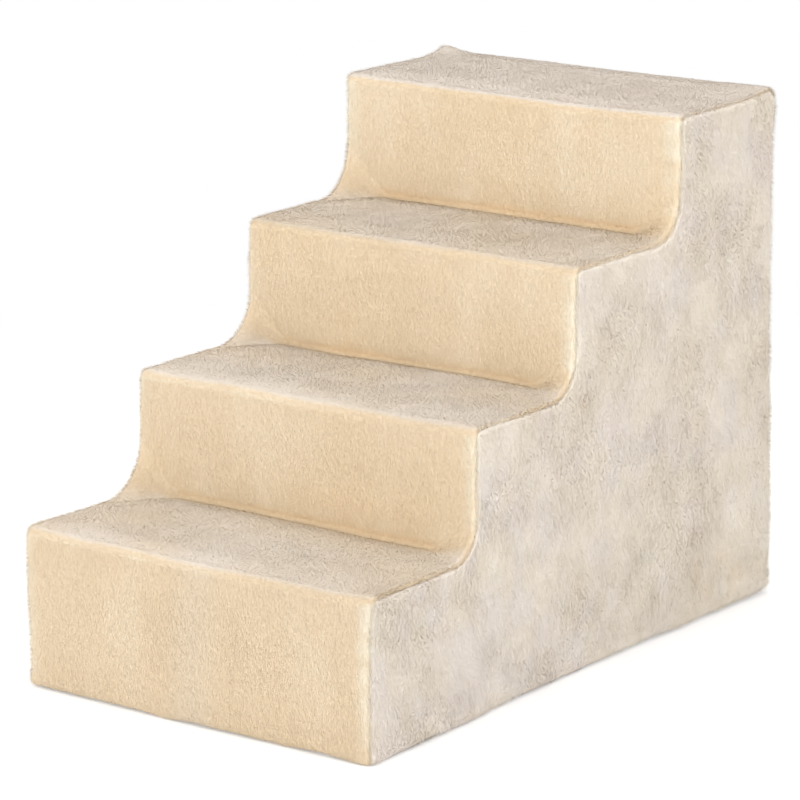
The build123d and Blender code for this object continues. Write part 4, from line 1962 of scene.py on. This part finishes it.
@dataclass(frozen=True)
class Band:
    """One flat length of tape between two edges, each a start and an end in X and Y."""

    outer: tuple[tuple[float, float], tuple[float, float]]
    inner: tuple[tuple[float, float], tuple[float, float]]

    def spot(self, along: float, across: float) -> Array:
        """A point of the band, in X and Y."""
        edges = [np.array(e[0]) * (1 - along) + np.array(e[1]) * along for e in (self.outer, self.inner)]
        return edges[0] * (1 - across) + edges[1] * across

    @property
    def size(self) -> tuple[float, float]:
        """Its width and its mean length."""
        wide = float(np.linalg.norm(self.spot(0.5, 0.0) - self.spot(0.5, 1.0)))
        return wide, float(np.linalg.norm(self.spot(1.0, 0.5) - self.spot(0.0, 0.5)))


@dataclass
class Hem:
    """The hem under the base: woven facings, their stitches, and the loop tape on them."""

    stair: Stair
    rows: GeometryTree
    facing_w: float = 30 * MM
    tuck: float = 2.5 * MM
    slit: float = 20 * MM
    tape_w: float = 20 * MM
    pitch: float = 4.2 * MM

    def facings(self) -> dict[str, list[Band]]:
        """The facing's bands under each panel, mitred at the corners.

        Returns:
            Each panel's bands by its name.
        """
        x, y = (half - self.stair.plush for half in (self.stair.width / 2, self.stair.depth / 2))
        ix, iy, gap = x - self.facing_w, y - self.facing_w, self.slit / 2
        x, y = x + self.tuck, y + self.tuck
        return {
            "front": [Band(((-x, -y), (x, -y)), ((-ix, -iy), (ix, -iy)))],
            "left": [Band(((-x, y), (-x, -y)), ((-ix, iy), (-ix, -iy)))],
            "right": [Band(((x, -y), (x, y)), ((ix, -iy), (ix, iy)))],
            "back": [
                Band(((x, y), (gap, y)), ((ix, iy), (gap, iy))),
                Band(((-gap, y), (-x, y)), ((-gap, iy), (-ix, iy))),
            ],
        }

    def loops(self) -> list[Band]:
        """The straight lengths of loop tape, where the CAD has them.

        Returns:
            A band for each length.
        """
        low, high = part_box("loop_tapes")
        w, gap = self.tape_w, self.slit / 2
        cross = high.x - w - 2 * MM
        return [
            Band(((-cross, low.y), (cross, low.y)), ((-cross, low.y + w), (cross, low.y + w))),
            Band(((cross, high.y), (gap, high.y)), ((cross, high.y - w), (gap, high.y - w))),
            Band(((-gap, high.y), (-cross, high.y)), ((-gap, high.y - w), (-cross, high.y - w))),
            Band(((low.x, high.y), (low.x, low.y)), ((low.x + w, high.y), (low.x + w, low.y))),
            Band(((high.x, low.y), (high.x, high.y)), ((high.x - w, low.y), (high.x - w, high.y))),
        ]

    def sheet_of(self, name: str, bands: list[Band], z: float, thick: float, ripple: float) -> Object:
        """Bands as one cloth mesh whose lower face lies at a height.

        Args:
            name: The object's name.
            bands: The bands.
            z: That height.
            thick: The cloth's thickness.
            ripple: How far it waves.

        Returns:
            The cloth.
        """
        points: list[Array] = []
        faces: list[tuple[int, ...]] = []
        for band in bands:
            count = max(8, round(band.size[1] / (7 * MM)))
            base = len(points)
            for along in np.linspace(0, 1, count):
                points += [np.append(band.spot(along, across), z) for across in np.linspace(0, 1, 6)]
            faces += [tuple(base + i for i in face) for face in grid_faces(count, 6)]
        grid = np.array(points)
        grid[:, 2] += ripple * (1.0 + soft_noise(grid, 26 * MM, 91))
        made = mesh_object(name, grid, faces)
        if made.data.polygons[0].normal.z > 0:
            made.data.flip_normals()
        made.modifiers.new("cloth", "SOLIDIFY").thickness = thick
        return applied(made)

    def stitch(self) -> Object:
        """One stitch of thread: a spindle along X, sunk at both ends.

        Returns:
            The stitch.
        """
        rings = []
        turns = np.arange(6) * math.pi / 3
        for x in (-1.5, -0.9, 0.0, 0.9, 1.5):
            r, sink = {1.5: (0.08, 0.3), 0.9: (0.24, 0.05), 0.0: (0.28, 0.0)}[abs(x)]
            rings.append([(x * MM, r * MM * math.cos(t), (r * math.sin(t) - sink) * MM) for t in turns])
        return tube("stitch_shape", np.array(rings), flip=True)

    def seams(
        self, panel: str, bands: list[Band], z: float, stitch: Object, material: Material
    ) -> None:
        """Rows of stitches along both edges of a panel's facing.

        Args:
            panel: The panel's name.
            bands: Its facing's bands.
            z: The thread's height.
            stitch: The stitch that is repeated.
            material: The thread's finish.
        """
        made = []
        for i, band in enumerate(bands):
            for across in (0.10, 0.90):
                ends = [(*band.spot(along, across), z) for along in (0.02, 0.98)]
                wire = wire_of("stitch_wire", ends, (0.0, 0.0, -1.0))
                name = f"hem_stitches_{panel}_{i}_{round(across * 10)}"
                count = round(math.dist(*ends) / self.pitch)
                made.append(self.rows.run(wire, name, Count=count, Shape=stitch, Material=material))
        settle(joined(made, f"hem_stitches_{panel}"), "hem_tape")

    def build(self) -> None:
        """Makes the facings, their stitches and the loop tape."""
        twill = Woven("hem_twill", (0.76, 0.69, 0.58), (0.50, 0.44, 0.35), 1.1 * MM, 0, 1, 0.3).material()
        pale, dark = (0.82, 0.77, 0.68), (0.62, 0.56, 0.48)
        brushed = Woven("loop_brushed", pale, dark, 1.3 * MM, 0, 1, 0.7).material()
        thread = Moulded("hem_thread", (0.86, 0.80, 0.68), (0.72, 0.66, 0.55), 0.7, 2400.0).material()
        stitch = self.stitch()
        for panel, bands in self.facings().items():
            low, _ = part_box(f"hem_facing_{panel}")
            made = self.sheet_of(f"hem_webbing_{panel}", bands, low.z, 0.55 * MM, 0.1 * MM)
            dress(made, twill)
            settle(made, "hem_tape", f"hem_facing_{panel}")
            wide, length = bands[0].size
            self.seams(panel, bands, low.z + 0.02 * MM, stitch, thread)
        low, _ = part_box("loop_tapes")
        made = self.sheet_of("loop_tapes_brushed", self.loops(), low.z, 1.0 * MM, 0.08 * MM)
        dress(made, brushed)
        settle(made, "loop_tape", "loop_tapes")
        total = sum(band.size[1] for band in self.loops())
        bpy.data.objects.remove(stitch)


# The studio


@dataclass(frozen=True)
class Studio:
    """Floor, backdrop, lamps and camera."""

    eye: Vec3 = (2.547, -3.501, 1.360)
    turn: float = math.radians(36.2)
    dip: float = math.radians(14.27)
    lens: float = 191.9
    floor_lift: float = 0.3
    floor_r: float = 6.0
    floor_z: float = -0.0004
    fade: tuple[float, float] = (0.7, 1.6)
    sky: float = 0.48

    def camera(self) -> None:
        """The camera at the photograph's angle."""
        data = bpy.data.cameras.new("camera")
        data.lens, data.sensor_width = self.lens, 36.0
        made = put("camera", data)
        made.location = self.eye
        made.rotation_euler = (math.pi / 2 - self.dip, 0.0, self.turn)
        bpy.context.scene.camera = made

    def lamp(self, name: str, place: Vec3, size: float, power: float, colour: Colour) -> None:
        """A soft box that looks at the middle of the stairs.

        Args:
            name: The lamp's name.
            place: Where it hangs.
            size: How wide it is.
            power: Its watts.
            colour: Its light.
        """
        data = bpy.data.lights.new(name, "AREA")
        data.shape, data.size, data.energy, data.color = "SQUARE", size, power, colour
        made = put(name, data)
        made.location = place
        made.rotation_euler = (Vector(AIM) - Vector(place)).to_track_quat("-Z", "Y").to_euler()

    def seen_white(self, tree: NodeTree) -> NodeSocket:
        """1 for rays that see the backdrop straight, in a mirror or through glass.

        Args:
            tree: The nodes of the world or of the floor.

        Returns:
            The mask.
        """
        path = tree.node("ShaderNodeLightPath").outputs
        total = path["Is Camera Ray"]
        for name in ("Is Glossy Ray", "Is Transmission Ray"):
            total = tree.wired("ShaderNodeMath", {"operation": "MAXIMUM"}, total, path[name])
        return total

    def world(self) -> None:
        """A dim even sky that is white where it is seen."""
        world = bpy.data.worlds.new("studio")
        bpy.context.scene.world = world
        world.use_nodes = True
        tree = NodeTree(world.node_tree)
        skies = [
            tree.wired("ShaderNodeBackground", {}, colour, strength)
            for colour, strength in (((1.0, 0.985, 0.97), self.sky), ((1.0, 1.0, 1.0), 1.0))
        ]
        mix = tree.wired("ShaderNodeMixShader", {}, self.seen_white(tree), *skies)
        tree.node("ShaderNodeOutputWorld", Surface=mix)

    def floor(self) -> None:
        """A white floor that keeps the shadow near the stairs and is plain white further off."""
        turns = np.linspace(0, 2 * math.pi, 96, endpoint=False)
        around = [(self.floor_r * math.cos(t), self.floor_r * math.sin(t), self.floor_z) for t in turns]
        made = mesh_object("floor", np.array(around), [tuple(range(len(turns)))])
        sheet = NodeSheet("floor_paper")
        sheet.finish(Base_Color=(0.9, 0.9, 0.9), Roughness=1.0, Specular_IOR_Level=0.0)
        seen = Signal(sheet, self.seen_white(sheet))
        away = sheet.add("ShaderNodeVectorMath", {"operation": "LENGTH"}, sheet.place(), out="Value")
        none, lift, white = (
            sheet.wired("ShaderNodeEmission", {}, None, strength) for strength in (0.0, self.floor_lift, 1.0)
        )
        near = sheet.wired("ShaderNodeMixShader", {}, seen, none, lift)
        near = sheet.wired("ShaderNodeAddShader", {}, sheet.shader.outputs[0], near)
        far = sheet.wired("ShaderNodeMixShader", {}, seen * away.ramp(*self.fade), near, white)
        sheet.feed(sheet.output.inputs[0], far)
        dress(made, sheet.material)

    def build(self) -> None:
        """Sets up the whole studio."""
        bpy.context.scene.view_settings.view_transform = "Standard"
        self.camera()
        self.world()
        self.floor()
        warm, cool = (1.0, 0.98, 0.96), (0.97, 0.985, 1.0)
        for name, place, size, power, colour in (
            ("front_box", (-1.9, -6.4, 2.4), 3.9, 230.0, (1.0, 0.97, 0.92)),
            ("side_box", (3.6, -0.6, 1.5), 2.2, 98.0, cool),
            ("top_box", (0.2, 0.2, 3.2), 2.4, 22.0, warm),
            ("left_box", (-3.8, -0.9, 1.3), 2.2, 40.0, warm),
            ("rear_box", (-2.2, 2.8, 1.6), 2.4, 38.0, warm),
        ):
            self.lamp(name, place, size, power, colour)


def main() -> None:
    """Dresses the stairs piece by piece and lights them."""
    Studio().build()
    Carcass(frame["nodes"]).build()
    Pads().build()
    rows = row_tree()
    ZipChain(rows).build()
    Hem(Stair(), rows).build()
    cover = Cover(Stair(), hair_shape(), pile_tree())
    cover.build()
    bpy.data.objects.remove(cover.hair)
    bpy.context.view_layer.update()


if __name__ == "__main__":
    main()
